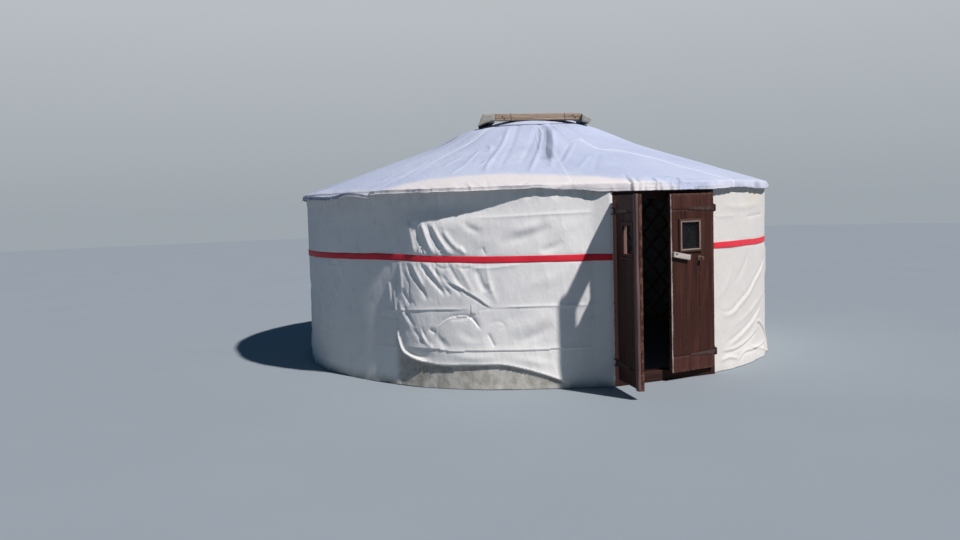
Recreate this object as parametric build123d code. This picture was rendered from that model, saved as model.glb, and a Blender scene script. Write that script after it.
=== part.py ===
from build123d import *
import os
from math import sin, cos, tan, atan2, degrees, radians, sqrt, hypot

# Round tent with a lattice wall, a shallow cone roof and a two-leaf plank door.
# Millimetres. +Z up, origin at the centre of the wall circle on the ground,
# the doorway faces -Y. An azimuth is counted from -Y towards +X.

# ---- wall ----
R_WALL = 2500.0          # outer face of the wall canvas
T_CANVAS = 12.0          # canvas with its lining
DOOR_HALF = 12.9         # azimuth of the canvas edge beside the door, degrees
Z_WALL = 1725.0          # top of the wall canvas, under the eave
Z_HEM = 60.0             # height of the doubled hem on the ground
R_HEM_OUT = 2502.0
BELT_Z = 1147.0          # middle of the webbing belt
BELT_W = 58.0
BELT_T = 3.2

# ---- lattice ----
FACETS = 18
LAT_CORNER = 2484.0      # radius of the facets' outer corners
LAT_T = 22.0             # two slats, one over the other
LAT_Z = 1715.0
SLAT = 30.0
DIAMONDS = 3             # across one facet
ROWS = 6

# ---- roof ----
EAVE_R = 2525.0
EAVE_Z = 1750.0          # outer surface at the eave
EAVE_DROP = 55.0         # hem that hangs below the eave
TOP_R = 470.0
TOP_Z = 2436.0
T_ROOF = 12.0
POLES = 36
POLE_R = 18.0
POLE_FOOT_R = 2470.0
POLE_HEAD_R = 487.5

# ---- crown ----
RING_R0, RING_R1 = 420.0, 480.0
RING_Z0, RING_Z1 = 2345.0, 2417.0
SPOKE_OFF = 110.0
SPOKE_W = 34.0
SPOKE_H = 28.0
SPOKE_TOP = 2516.0
SPOKE_SAG = 92.0
SPOKE_HALF = 428.0
CAP_R = 622.0
FRAME_TURN = -25.0       # the timber frame on the crown, turned against the door

# ---- door frame ----
JAMB_IN, JAMB_OUT = 475.0, 545.0
FRAME_Y0, FRAME_Y1 = -2480.0, -2390.0
LINTEL_Z0, LINTEL_Z1 = 1605.0, 1690.0
SILL_Z = 95.0

# ---- door leaves ----
HINGE_X, HINGE_Y = 526.0, -2520.0
LEAF_IN, LEAF_OUT = 2.5, 512.0           # free edge and hinge edge, from the middle
LEAF_Y_BACK, LEAF_Y_FACE = -2485.0, -2515.0
LEAF_Z0, LEAF_Z1 = 74.0, 1640.0
LEFT_OPEN = 102.5
RIGHT_OPEN = 6.0
WIN_C = 228.0            # window centre from the free edge
WIN_Z = 1273.0
TRIM_W, TRIM_H, TRIM_T = 262.0, 292.0, 13.0
HOLE_W, HOLE_H = 208.0, 238.0
PANE_T = 5.0
STRAP_Z = (218.0, 1508.0)
STRAP_L = 290.0
STRAP_T = 4.0
PIN_R = 6.0
KNUCKLE_R = 10.0
KNUCKLE_H = 40.0
LUG_R = 9.0
LUG_H = 10.0

OUT = {}


def box(x0, x1, y0, y1, z0, z1):
    return Pos((x0 + x1) / 2, (y0 + y1) / 2, (z0 + z1) / 2) * Box(abs(x1 - x0), abs(y1 - y0), abs(z1 - z0))


def polyface(points):
    return Plane.XZ * make_face(Polyline(*points, close=True))


def sector(points, a0, a1):
    """Solid of revolution about Z of an (r, z) outline, from azimuth a0 to a1."""
    solid = revolve(polyface(points), Axis.Z, a1 - a0)
    return Rot(0, 0, a0 - 90.0) * solid


def rect(r0, r1, z0, z1):
    return [(r0, z0), (r1, z0), (r1, z1), (r0, z1)]


def ring_plane(az, dist, z=0.0):
    a = radians(az)
    n = (sin(a), -cos(a), 0)
    t = (cos(a), sin(a), 0)
    return Plane(origin=(n[0] * dist, n[1] * dist, z), x_dir=t, z_dir=n)


def solids(shape):
    return list(shape.solids())


def keep(name, *shapes):
    found = []
    for s in shapes:
        found += solids(s)
    OUT[name] = found[0] if len(found) == 1 else Compound(children=found)


# ---------------- wall canvas ----------------
SIDES = ["right_front", "right_side", "right_back", "left_back", "left_side", "left_front"]
SPAN = (360.0 - 2 * DOOR_HALF) / 6
for i, side in enumerate(SIDES):
    a0 = DOOR_HALF + SPAN * i
    keep("wall_canvas_" + side, sector(rect(R_WALL - T_CANVAS, R_WALL, Z_HEM, Z_WALL), a0, a0 + SPAN))

keep("wall_canvas_hem", sector(rect(R_WALL - T_CANVAS, R_HEM_OUT, 0, Z_HEM), DOOR_HALF, 360 - DOOR_HALF))

keep("belt_strap", sector(rect(R_WALL + 0.3, R_WALL + 0.3 + BELT_T, BELT_Z - BELT_W / 2, BELT_Z + BELT_W / 2),
                          DOOR_HALF + 0.4, 360 - DOOR_HALF - 0.4))

# ---------------- lattice wall ----------------
FAC = (360.0 - 2 * DOOR_HALF - 0.2) / FACETS
FAC_OUT = LAT_CORNER * cos(radians(FAC / 2))      # distance of a facet's outer face
FAC_IN = FAC_OUT - LAT_T
FAC_HALF = FAC_IN * tan(radians(FAC / 2)) - 1.0
W, H = 2 * FAC_HALF, LAT_Z
cell_w = (W - SLAT) / DIAMONDS
cell_h = (H - SLAT) / ROWS
ang = degrees(atan2(cell_h, cell_w))
length = hypot(W, H) * 1.3

pattern = None
for s in (1, -1):
    for k in range(-DIAMONDS - ROWS, DIAMONDS + ROWS + 1):
        # slat through (x, z) = (0, k * cell_h) of the pattern's own grid
        bar = Pos(0, H / 2 + (k + 0.0) * cell_h) * (Rot(0, 0, s * ang) * Rectangle(length, SLAT))
        pattern = bar if pattern is None else pattern + bar
panel = pattern & (Pos(0, H / 2) * Rectangle(W, H))
facet = extrude(panel, LAT_T)
facet_solids = solids(facet)
for i, side in enumerate(SIDES):
    parts_here = []
    for j in range(3):
        az = DOOR_HALF + 0.1 + FAC * (3 * i + j + 0.5)
        for s in facet_solids:
            parts_here.append(ring_plane(az, FAC_IN).location * s)
    keep("wall_lattice_" + side, *parts_here)

# ---------------- roof canvas ----------------
tilt = (TOP_Z - EAVE_Z) / (EAVE_R - TOP_R)
roof_drop = T_ROOF * sqrt(1 + tilt * tilt)


def roof_z(r):
    return EAVE_Z + (EAVE_R - r) * tilt


roof_outline = [
    (EAVE_R, EAVE_Z - EAVE_DROP),
    (EAVE_R, EAVE_Z),
    (TOP_R, TOP_Z),
    (TOP_R, TOP_Z - roof_drop),
    (EAVE_R - T_ROOF, roof_z(EAVE_R - T_ROOF) - roof_drop),
    (EAVE_R - T_ROOF, EAVE_Z - EAVE_DROP),
]
for name, az in (("front", -45), ("right", 45), ("back", 135), ("left", 225)):
    keep("roof_canvas_" + name, sector(roof_outline, az, az + 90))

# ---------------- roof poles ----------------


def pole_z(r):
    return roof_z(r) - roof_drop - 1.0 - POLE_R * sqrt(1 + tilt * tilt)


pole_len = hypot(POLE_FOOT_R - POLE_HEAD_R, pole_z(POLE_HEAD_R) - pole_z(POLE_FOOT_R))
groups = {"front": [], "right": [], "back": [], "left": []}
for k in range(POLES):
    az = 360.0 / POLES * (k + 0.5)
    a = radians(az)
    foot = Vector(POLE_FOOT_R * sin(a), -POLE_FOOT_R * cos(a), pole_z(POLE_FOOT_R))
    head = Vector(POLE_HEAD_R * sin(a), -POLE_HEAD_R * cos(a), pole_z(POLE_HEAD_R))
    d = head - foot
    rod = Plane(origin=foot, z_dir=d) * Cylinder(POLE_R, d.length, align=(Align.CENTER, Align.CENTER, Align.MIN))
    side = ("front", "right", "back", "left")[int((az + 45.0) // 90) % 4]
    groups[side].append(rod)
for side, rods in groups.items():
    keep("roof_poles_" + side, *rods)

# ---------------- crown ----------------
keep("crown_ring", Pos(0, 0, (RING_Z0 + RING_Z1) / 2) * (Cylinder(RING_R1, RING_Z1 - RING_Z0) - Cylinder(RING_R0, RING_Z1 - RING_Z0 + 10)))

# four bent bars, two each way, fused where they cross
end_z = SPOKE_TOP - SPOKE_SAG
top_arc = ThreePointArc((-SPOKE_HALF, end_z), (0, SPOKE_TOP), (SPOKE_HALF, end_z))
low_arc = ThreePointArc((SPOKE_HALF, end_z - SPOKE_H), (0, SPOKE_TOP - SPOKE_H), (-SPOKE_HALF, end_z - SPOKE_H))
outline = make_face(top_arc + Line((SPOKE_HALF, end_z), (SPOKE_HALF, end_z - SPOKE_H)) + low_arc + Line((-SPOKE_HALF, end_z - SPOKE_H), (-SPOKE_HALF, end_z)))
arch = extrude(Plane.XZ * outline, SPOKE_W / 2, both=True)
grid = None
for off in (-SPOKE_OFF, SPOKE_OFF):
    for turn in (0, 90):
        bar = Rot(0, 0, turn) * (Pos(0, off, 0) * arch)
        grid = bar if grid is None else grid + bar
grid = grid & (Pos(0, 0, 2450) * Cylinder(RING_R0 - 0.5, 400))
keep("crown_spokes", grid)

cap_in = [(CAP_R, 2388.3), (560, 2424.0), (488, 2456.0), (400, 2478.0), (250, 2507.5), (120, 2526.5), (0, 2533.5)]
cap_out = [(0, 2541.0), (120, 2534.0), (250, 2515.0), (400, 2486.0), (488, 2464.0), (560, 2432.5), (CAP_R + 2, 2396.0)]
keep("crown_cover", revolve(polyface(cap_in + cap_out), Axis.Z, 360))

# timbers that weigh the cover down: side to side (x) and height (z) as seen from the front
turn = Rot(0, 0, FRAME_TURN)
left_end = [(-578, 2427), (-488, 2468), (-395, 2490), (-395, 2556), (-517, 2558)]
right_end = [(528, 2468), (603, 2445), (636, 2491), (528, 2550)]


def timber(section, y0, y1):
    face = Plane.XZ * make_face(Polyline(*section, close=True))
    body = extrude(face, y1 - y0)          # Plane.XZ looks along -Y
    return Pos(0, y1, 0) * body


keep("crown_timber_left", turn * timber(left_end, -560, 560))
dip = Pos(0, 0, 2480) * Rot(2.2, 0, 0) * Pos(0, 0, -2480)        # its front end hangs lower
keep("crown_timber_right", turn * dip * timber(right_end, -590, 590))
lean = Pos(66.5, 0, 2511) * Rot(0, 1.2, 0)                       # the front one drops a little to the right
keep("crown_timbers_cross", turn * lean * box(-459, 459, -552, -462, -35.5, 35.5),
     turn * box(-392.5, 525.5, 455, 545, 2489, 2556))

# ---------------- door frame ----------------
keep("door_jamb_left", box(-JAMB_OUT, -JAMB_IN, FRAME_Y0, FRAME_Y1, 0, LINTEL_Z0))
keep("door_jamb_right", box(JAMB_IN, JAMB_OUT, FRAME_Y0, FRAME_Y1, 0, LINTEL_Z0))
keep("door_lintel", box(-JAMB_OUT, JAMB_OUT, FRAME_Y0, FRAME_Y1, LINTEL_Z0, LINTEL_Z1))
keep("door_sill", box(-JAMB_IN, JAMB_IN, FRAME_Y0, FRAME_Y1 - 5, 0, SILL_Z))

# ---------------- door leaves, modelled shut on the right side ----------------


def hinge_part(kind):
    """Hinge pieces of one leaf about the pin's axis, for the right side."""
    out = []
    for z in STRAP_Z:
        if kind == "strap":
            knuckle = Pos(HINGE_X, HINGE_Y, z) * (Cylinder(KNUCKLE_R, KNUCKLE_H) - Cylinder(PIN_R + 0.06, KNUCKLE_H + 4))
            x_tip = LEAF_OUT - STRAP_L
            plate = Plane.XZ * make_face(Polyline(
                (x_tip + 14, z - 9), (HINGE_X - 8.6, z - 19), (HINGE_X - 8.6, z + 19), (x_tip + 14, z + 9), (x_tip, z), close=True))
            plate = Pos(0, LEAF_Y_FACE, 0) * extrude(plate, STRAP_T)
            out += solids(knuckle + plate)
        else:
            x0 = HINGE_X - LUG_R
            lo = KNUCKLE_H / 2 + 1.0
            piece = box(x0, JAMB_OUT, FRAME_Y0 - 4, FRAME_Y0, z - lo - LUG_H - 12, z + lo + LUG_H + 12)
            for s in (-1, 1):
                zz = z + s * (lo + LUG_H / 2)
                piece += box(x0, HINGE_X + LUG_R, HINGE_Y, FRAME_Y0 - 4, zz - LUG_H / 2, zz + LUG_H / 2)
                piece += Pos(HINGE_X, HINGE_Y, zz) * Cylinder(LUG_R, LUG_H)
            piece += Pos(HINGE_X, HINGE_Y, z) * Cylinder(PIN_R, 2 * (lo + LUG_H) - 2)
            out += solids(piece)
    return out


def leaf_pieces():
    xc = LEAF_IN + WIN_C
    hole = box(xc - HOLE_W / 2, xc + HOLE_W / 2, -2600, -2400, WIN_Z - HOLE_H / 2, WIN_Z + HOLE_H / 2)
    leaf = box(LEAF_IN, LEAF_OUT, LEAF_Y_FACE, LEAF_Y_BACK, LEAF_Z0, LEAF_Z1) - hole
    trim = box(xc - TRIM_W / 2, xc + TRIM_W / 2, LEAF_Y_FACE - TRIM_T, LEAF_Y_FACE, WIN_Z - TRIM_H / 2, WIN_Z + TRIM_H / 2)
    trim -= box(xc - HOLE_W / 2 + 4, xc + HOLE_W / 2 - 4, -2600, -2400, WIN_Z - HOLE_H / 2 + 4, WIN_Z + HOLE_H / 2 - 4)
    pane = box(xc - HOLE_W / 2 + 0.2, xc + HOLE_W / 2 - 0.2, LEAF_Y_FACE + 12, LEAF_Y_FACE + 12 + PANE_T,
               WIN_Z - HOLE_H / 2 + 0.2, WIN_Z + HOLE_H / 2 - 0.2)
    return leaf, trim, pane


leaf, trim, pane = leaf_pieces()
straps = hinge_part("strap")
brackets = hinge_part("bracket")

open_right = Pos(HINGE_X, HINGE_Y, 0) * Rot(0, 0, RIGHT_OPEN) * Pos(-HINGE_X, -HINGE_Y, 0)
open_left = Pos(HINGE_X, HINGE_Y, 0) * Rot(0, 0, LEFT_OPEN) * Pos(-HINGE_X, -HINGE_Y, 0)


def right_side(shape):
    return open_right * shape


def left_side(shape):
    return mirror(open_left * shape, about=Plane.YZ)


latch = box(LEAF_IN + 16, LEAF_IN + 211, LEAF_Y_FACE - 28, LEAF_Y_FACE, 1074, 1122)
latch = Pos(LEAF_IN + 113, 0, 1098) * Rot(0, 1.3, 0) * Pos(-LEAF_IN - 113, 0, -1098) * latch
latch = latch & box(LEAF_IN, LEAF_OUT, LEAF_Y_FACE - 28, LEAF_Y_FACE, 1000, 1126)
knob_profile = [(0, 0), (24, 0), (24, 4), (8, 6), (7, 24), (15, 30), (17, 37), (14, 44), (0, 47)]
knob = revolve(Plane.XZ * make_face(Polyline(*knob_profile, close=True)), Axis.Z, 360)
knob = Pos(LEAF_IN + 340, LEAF_Y_FACE, 1068) * Rot(90, 0, 0) * knob
edge = box(LEAF_IN, LEAF_IN + 55, LEAF_Y_FACE - 27, LEAF_Y_FACE, LEAF_Z0, LEAF_Z1 + 4)

keep("right_leaf", right_side(leaf))
keep("right_window_trim", right_side(trim))
keep("right_window_pane", right_side(pane))
keep("right_strap_hinges", *[right_side(s) for s in straps])
keep("right_latch_bar", right_side(latch))
keep("right_door_knob", right_side(knob))
keep("right_hinge_brackets", *brackets)

keep("left_leaf", left_side(leaf))
keep("left_window_trim", left_side(trim))
keep("left_window_pane", left_side(pane))
keep("left_strap_hinges", *[left_side(s) for s in straps])
keep("left_edge_strip", left_side(edge))
keep("left_hinge_brackets", *[mirror(s, about=Plane.YZ) for s in brackets])

os.makedirs("parts", exist_ok=True)
total = 0.0
for name, shape in OUT.items():
    export_step(shape, "parts/" + name + ".step")
    total += shape.volume
print(len(OUT), "nodes, solid volume m3:", round(total / 1e9, 4), "facet slat angle", round(ang, 2))
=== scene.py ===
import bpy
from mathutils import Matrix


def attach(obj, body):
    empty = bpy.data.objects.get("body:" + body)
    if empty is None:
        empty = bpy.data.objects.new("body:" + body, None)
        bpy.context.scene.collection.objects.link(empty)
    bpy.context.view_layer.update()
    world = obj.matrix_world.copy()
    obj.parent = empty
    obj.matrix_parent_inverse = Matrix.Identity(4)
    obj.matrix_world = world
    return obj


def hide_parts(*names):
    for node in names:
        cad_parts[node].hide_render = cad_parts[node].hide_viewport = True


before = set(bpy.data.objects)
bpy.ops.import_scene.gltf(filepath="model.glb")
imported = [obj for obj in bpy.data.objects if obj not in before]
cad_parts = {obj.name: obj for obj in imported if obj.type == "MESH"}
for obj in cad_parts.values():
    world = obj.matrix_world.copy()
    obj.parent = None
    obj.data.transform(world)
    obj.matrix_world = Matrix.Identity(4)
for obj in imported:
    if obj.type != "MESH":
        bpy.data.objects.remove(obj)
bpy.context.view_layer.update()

import math

import bpy
import bmesh
import numpy as np
from mathutils import Matrix, Vector

scene = bpy.context.scene
RAD = math.pi / 180.0

# Metres, +Z up, origin at the centre of the wall circle on the ground, doorway towards -Y.
# An azimuth is counted from -Y towards +X.

R_WALL = 2.500
Z_WALL = 1.725
DOOR_HALF = 12.9
BELT_Z, BELT_W = 1.147, 0.058
EAVE_R, EAVE_Z = 2.525, 1.750
TOP_R, TOP_Z = 0.470, 2.436
SLOPE = (TOP_Z - EAVE_Z) / (EAVE_R - TOP_R)
BETA = math.atan(SLOPE)
HINGE = (0.526, -2.520)
LEAF_IN, LEAF_OUT = 0.0025, 0.512
LEAF_BACK, LEAF_FACE = -2.485, -2.515
LEAF_Z0, LEAF_Z1 = 0.074, 1.640
LEFT_OPEN, RIGHT_OPEN = 102.5, 6.0
WIN_X, WIN_Z = 0.2305, 1.273
FRAME_TURN = -25.0

# ------------------------------------------------------------------ camera
EYE = np.array((-4.5072, -8.6953, 1.584))
FWD = np.array((0.40300937, 0.91219184, -0.07409108))
RIGHT = np.array((0.91338708, -0.40597996, -0.03007184))
UP = np.array((0.05751078, 0.05555461, 0.99679797))
FOCAL = 860.0

cam_data = bpy.data.cameras.new("camera")
cam_data.sensor_width = 36.0
cam_data.lens = FOCAL * 36.0 / 960.0
cam_data.clip_start, cam_data.clip_end = 0.1, 200.0
camera = bpy.data.objects.new("camera", cam_data)
scene.collection.objects.link(camera)
camera.matrix_world = Matrix([list(r) for r in np.vstack([
    np.column_stack([RIGHT, UP, -FWD, EYE]), (0, 0, 0, 1)])])
scene.camera = camera
scene.view_settings.view_transform = "Standard"
scene.view_settings.look = "None"
scene.view_settings.exposure = 0.0
scene.view_settings.gamma = 1.0


def ray(u, v):
    return FWD + RIGHT * (u - 480.0) / FOCAL - UP * (v - 270.0) / FOCAL


def on_wall(u, v, r=R_WALL):
    """(azimuth in degrees, z) where the sight line through a point of the frame meets the wall."""
    d = ray(u, v)
    a = d[0] ** 2 + d[1] ** 2
    b = EYE[0] * d[0] + EYE[1] * d[1]
    c = EYE[0] ** 2 + EYE[1] ** 2 - r * r
    disc = b * b - a * c
    t = (-b - math.sqrt(max(disc, 0.0))) / a
    p = EYE + d * t
    return math.degrees(math.atan2(p[0], -p[1])), p[2]


def on_roof(u, v):
    """(azimuth in degrees, distance up the slope from the eave) on the roof cone."""
    d = ray(u, v)
    ts = np.linspace(5.5, 13.0, 1500)
    p = EYE[None] + ts[:, None] * d[None]
    f = np.hypot(p[:, 0], p[:, 1]) - (EAVE_R - (p[:, 2] - EAVE_Z) / SLOPE)
    k = np.where((f[:-1] > 0) & (f[1:] <= 0))[0]
    k = k[0] if len(k) else int(np.argmin(np.abs(f)))
    q = p[k]
    r = math.hypot(q[0], q[1])
    return math.degrees(math.atan2(q[0], -q[1])), (EAVE_R - r) / math.cos(BETA)


# ------------------------------------------------------------------ noise
def _hash(ix, iy, seed):
    h = (ix * 374761393 + iy * 668265263 + seed * 974634777) & 0xFFFFFFFF
    h = ((h ^ (h >> 13)) * 1274126177) & 0xFFFFFFFF
    h = ((h ^ (h >> 16)) * 2246822519) & 0xFFFFFFFF
    return (h ^ (h >> 15)) / 4294967295.0


def vnoise(x, y, seed=0):
    """Smooth value noise from -1 to 1."""
    x, y = np.asarray(x, float), np.asarray(y, float)
    ix, iy = np.floor(x).astype(np.int64), np.floor(y).astype(np.int64)
    fx, fy = x - ix, y - iy
    fx, fy = fx * fx * fx * (fx * (fx * 6 - 15) + 10), fy * fy * fy * (fy * (fy * 6 - 15) + 10)
    a, b = _hash(ix, iy, seed), _hash(ix + 1, iy, seed)
    c, d = _hash(ix, iy + 1, seed), _hash(ix + 1, iy + 1, seed)
    return (a + (b - a) * fx + (c - a) * fy + (a - b - c + d) * fx * fy) * 2 - 1


def fbm(x, y, seed=0, octaves=4, gain=0.5):
    total, amp, norm = 0.0, 1.0, 0.0
    for k in range(octaves):
        total = total + amp * vnoise(x * 2 ** k + 17.3 * k, y * 2 ** k - 9.1 * k, seed + 31 * k)
        norm += amp
        amp *= gain
    return total / norm


def ridged(x, y, seed=0, octaves=3, sharp=1.6):
    total, amp, norm = 0.0, 1.0, 0.0
    for k in range(octaves):
        n = 1 - np.abs(vnoise(x * 2 ** k + 7.7 * k, y * 2 ** k + 3.1 * k, seed + 53 * k))
        total = total + amp * n ** (sharp * 2)
        norm += amp
        amp *= 0.5
    return total / norm


def step01(x, a, b):
    t = np.clip((x - a) / (b - a), 0, 1)
    return t * t * (3 - 2 * t)


def near_line(X, Y, pts, reach):
    """For grid points within reach of a polyline: index, distance, side and share along it."""
    pts = np.asarray(pts, float)
    lo, hi = pts.min(0) - reach, pts.max(0) + reach
    idx = np.where((X > lo[0]) & (X < hi[0]) & (Y > lo[1]) & (Y < hi[1]))[0]
    if not len(idx):
        return idx, None, None, None
    x, y = X[idx], Y[idx]
    seg = np.hypot(*(pts[1:] - pts[:-1]).T)
    total = max(seg.sum(), 1e-9)
    best = np.full(len(idx), 1e9)
    side = np.zeros(len(idx))
    share = np.zeros(len(idx))
    done = 0.0
    for k in range(len(seg)):
        ax, ay = pts[k]
        dx, dy = pts[k + 1] - pts[k]
        L2 = max(dx * dx + dy * dy, 1e-12)
        t = np.clip(((x - ax) * dx + (y - ay) * dy) / L2, 0, 1)
        ex, ey = x - ax - t * dx, y - ay - t * dy
        dist = np.hypot(ex, ey)
        m = dist < best
        best[m] = dist[m]
        side[m] = np.sign(dx * ey - dy * ex)[m]
        share[m] = ((done + t * seg[k]) / total)[m]
        done += seg[k]
    m = best < reach
    return idx[m], best[m], side[m], share[m]


def smooth_line(pts, n=6):
    """Catmull-Rom through the points, so a crease bends softly."""
    p = np.asarray(pts, float)
    if len(p) < 3:
        return p
    q = np.vstack([2 * p[0] - p[1], p, 2 * p[-1] - p[-2]])
    out = []
    for k in range(1, len(q) - 2):
        for t in np.linspace(0, 1, n, endpoint=False):
            out.append(0.5 * ((2 * q[k]) + (q[k + 1] - q[k - 1]) * t
                              + (2 * q[k - 1] - 5 * q[k] + 4 * q[k + 1] - q[k + 2]) * t * t
                              + (3 * q[k] - q[k - 1] - 3 * q[k + 1] + q[k + 2]) * t ** 3))
    out.append(p[-1])
    return np.array(out)


def add_crease(H, X, Y, pts, kind, amp, width, taper=0.18, soft=True):
    """Adds one fold to the height field H (flat arrays)."""
    line = smooth_line(pts) if soft else np.asarray(pts, float)
    idx, d, side, share = near_line(X, Y, line, width * 4.0)
    if not len(idx):
        return
    ends = np.clip(np.minimum(share, 1 - share) / taper, 0, 1) ** 0.7
    if kind == "ridge":
        f = np.exp(-(d / width) ** 2)
    elif kind == "valley":
        f = -np.exp(-(d / width) ** 2)
    elif kind == "sharp":
        f = np.exp(-d / width)
    elif kind == "cut":
        f = -np.exp(-d / width)
    elif kind == "fold":        # a lip on the left of the line's direction, steep on its other side
        f = np.where(side > 0, np.exp(-d / (1.6 * width)), -0.35 * np.exp(-d / (0.7 * width)))
        f = f * (1 - np.exp(-(d / (0.25 * width)) ** 2) * 0.3)
    else:                       # pleat: ridge with a valley beside it
        s = d * side
        f = np.exp(-((s - 0.6 * width) / width) ** 2) - 0.8 * np.exp(-((s + 0.7 * width) / (0.7 * width)) ** 2)
    H[idx] += amp * f * ends


# ------------------------------------------------------------------ meshes
def make_mesh(name, verts, faces4, faces3=None, uv=None, mats=(), mat_index=None, smooth=True, attrs=None):
    """Mesh from numpy arrays. uv is one pair for each vertex."""
    verts = np.asarray(verts, np.float32).reshape(-1, 3)
    faces4 = np.asarray(faces4, np.int32).reshape(-1, 4)
    faces3 = np.zeros((0, 3), np.int32) if faces3 is None else np.asarray(faces3, np.int32).reshape(-1, 3)
    me = bpy.data.meshes.new(name)
    n4, n3 = len(faces4), len(faces3)
    me.vertices.add(len(verts))
    me.vertices.foreach_set("co", verts.ravel())
    loops = np.concatenate([faces4.ravel(), faces3.ravel()])
    me.loops.add(len(loops))
    me.loops.foreach_set("vertex_index", loops)
    me.polygons.add(n4 + n3)
    starts = np.concatenate([np.arange(n4) * 4, n4 * 4 + np.arange(n3) * 3]).astype(np.int32)
    me.polygons.foreach_set("loop_start", starts)
    if uv is not None:
        layer = me.uv_layers.new(name="UVMap")
        layer.data.foreach_set("uv", np.asarray(uv, np.float32).reshape(-1, 2)[loops].ravel())
    for m in mats:
        me.materials.append(m)
    if mat_index is not None:
        me.polygons.foreach_set("material_index", np.asarray(mat_index, np.int32))
    me.update(calc_edges=True)
    me.validate()
    if attrs:
        for key, val in attrs.items():
            a = me.attributes.new(key, "FLOAT", "POINT")
            a.data.foreach_set("value", np.asarray(val, np.float32).ravel())
    me.polygons.foreach_set("use_smooth", [bool(smooth)] * len(me.polygons))
    ob = bpy.data.objects.new(name, me)
    scene.collection.objects.link(ob)
    return ob


def turn_out(ob):
    """Outward normals on a closed mesh."""
    bm = bmesh.new()
    bm.from_mesh(ob.data)
    bmesh.ops.recalc_face_normals(bm, faces=bm.faces)
    bm.to_mesh(ob.data)
    bm.free()
    return ob


def flat_edges(ob, angle=40):
    """Marks edges sharper than angle, so smooth shading keeps corners crisp."""
    bm = bmesh.new()
    bm.from_mesh(ob.data)
    lim = angle * RAD
    for e in bm.edges:
        if len(e.link_faces) == 2 and e.calc_face_angle(0) > lim:
            e.smooth = False
    bm.to_mesh(ob.data)
    bm.free()
    return ob


def grid_faces(nu, nv, wrap_u=False):
    u = np.arange(nu if wrap_u else nu - 1)
    v = np.arange(nv - 1)
    U, V = np.meshgrid(u, v, indexing="ij")
    a = U * nv + V
    b = ((U + 1) % nu) * nv + V
    return np.stack([a, b, b + 1, a + 1], -1).reshape(-1, 4)


class Heap:
    """Many small closed shapes joined in one mesh."""

    def __init__(self):
        self.v, self.q, self.t, self.uv, self.m, self.mt, self.n = [], [], [], [], [], [], 0

    def add(self, verts, quads=None, tris=None, uv=None, mat=0):
        verts = np.asarray(verts, float).reshape(-1, 3)
        self.v.append(verts)
        self.uv.append(np.zeros((len(verts), 2)) if uv is None else np.asarray(uv, float).reshape(-1, 2))
        if quads is not None and len(quads):
            self.q.append(np.asarray(quads) + self.n)
            self.m += [mat] * len(quads)
        if tris is not None and len(tris):
            self.t.append(np.asarray(tris) + self.n)
            self.mt += [mat] * len(tris)
        self.n += len(verts)

    def build(self, name, mats, smooth=True, sharp=40):
        q = np.concatenate(self.q) if self.q else np.zeros((0, 4), int)
        t = np.concatenate(self.t) if self.t else None
        ob = make_mesh(name, np.concatenate(self.v), q, t, np.concatenate(self.uv), mats, self.m + self.mt, smooth)
        turn_out(ob)
        if sharp:
            flat_edges(ob, sharp)
        return ob


def round_section(pts, r, n_arc=3, spacing=0.02):
    """Outline of a polygon with rounded corners, evenly filled, with outward normals and the running length."""
    pts = np.asarray(pts, float)
    area = 0.5 * np.sum(pts[:, 0] * np.roll(pts[:, 1], -1) - np.roll(pts[:, 0], -1) * pts[:, 1])
    if area < 0:
        pts = pts[::-1]
    rr = np.broadcast_to(np.asarray(r, float), (len(pts),))
    if area < 0 and np.ndim(r):
        rr = rr[::-1]
    out = []
    n = len(pts)
    for k in range(n):
        p, a, b = pts[k], pts[k - 1], pts[(k + 1) % n]
        da, db = (a - p), (b - p)
        la, lb = np.hypot(*da), np.hypot(*db)
        da, db = da / la, db / lb
        half = 0.5 * math.acos(max(-1, min(1, float(da @ db))))
        cut = min(rr[k] / max(math.tan(half), 1e-6), 0.45 * la, 0.45 * lb)
        s, e = p + da * cut, p + db * cut
        for t in np.linspace(0, 1, n_arc + 1):
            out.append((1 - t) ** 2 * s + 2 * t * (1 - t) * p + t * t * e)
    out = np.array(out)
    dense = []
    for k in range(len(out)):
        a, b = out[k], out[(k + 1) % len(out)]
        m = max(1, int(np.hypot(*(b - a)) / spacing))
        for t in range(m):
            dense.append(a + (b - a) * t / m)
    dense = np.array(dense)
    tang = np.roll(dense, -1, 0) - np.roll(dense, 1, 0)
    tang /= np.maximum(np.hypot(*tang.T)[:, None], 1e-9)
    normal = np.column_stack([tang[:, 1], -tang[:, 0]])
    run = np.concatenate([[0], np.cumsum(np.hypot(*(dense[1:] - dense[:-1]).T))])
    return dense, normal, run


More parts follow.
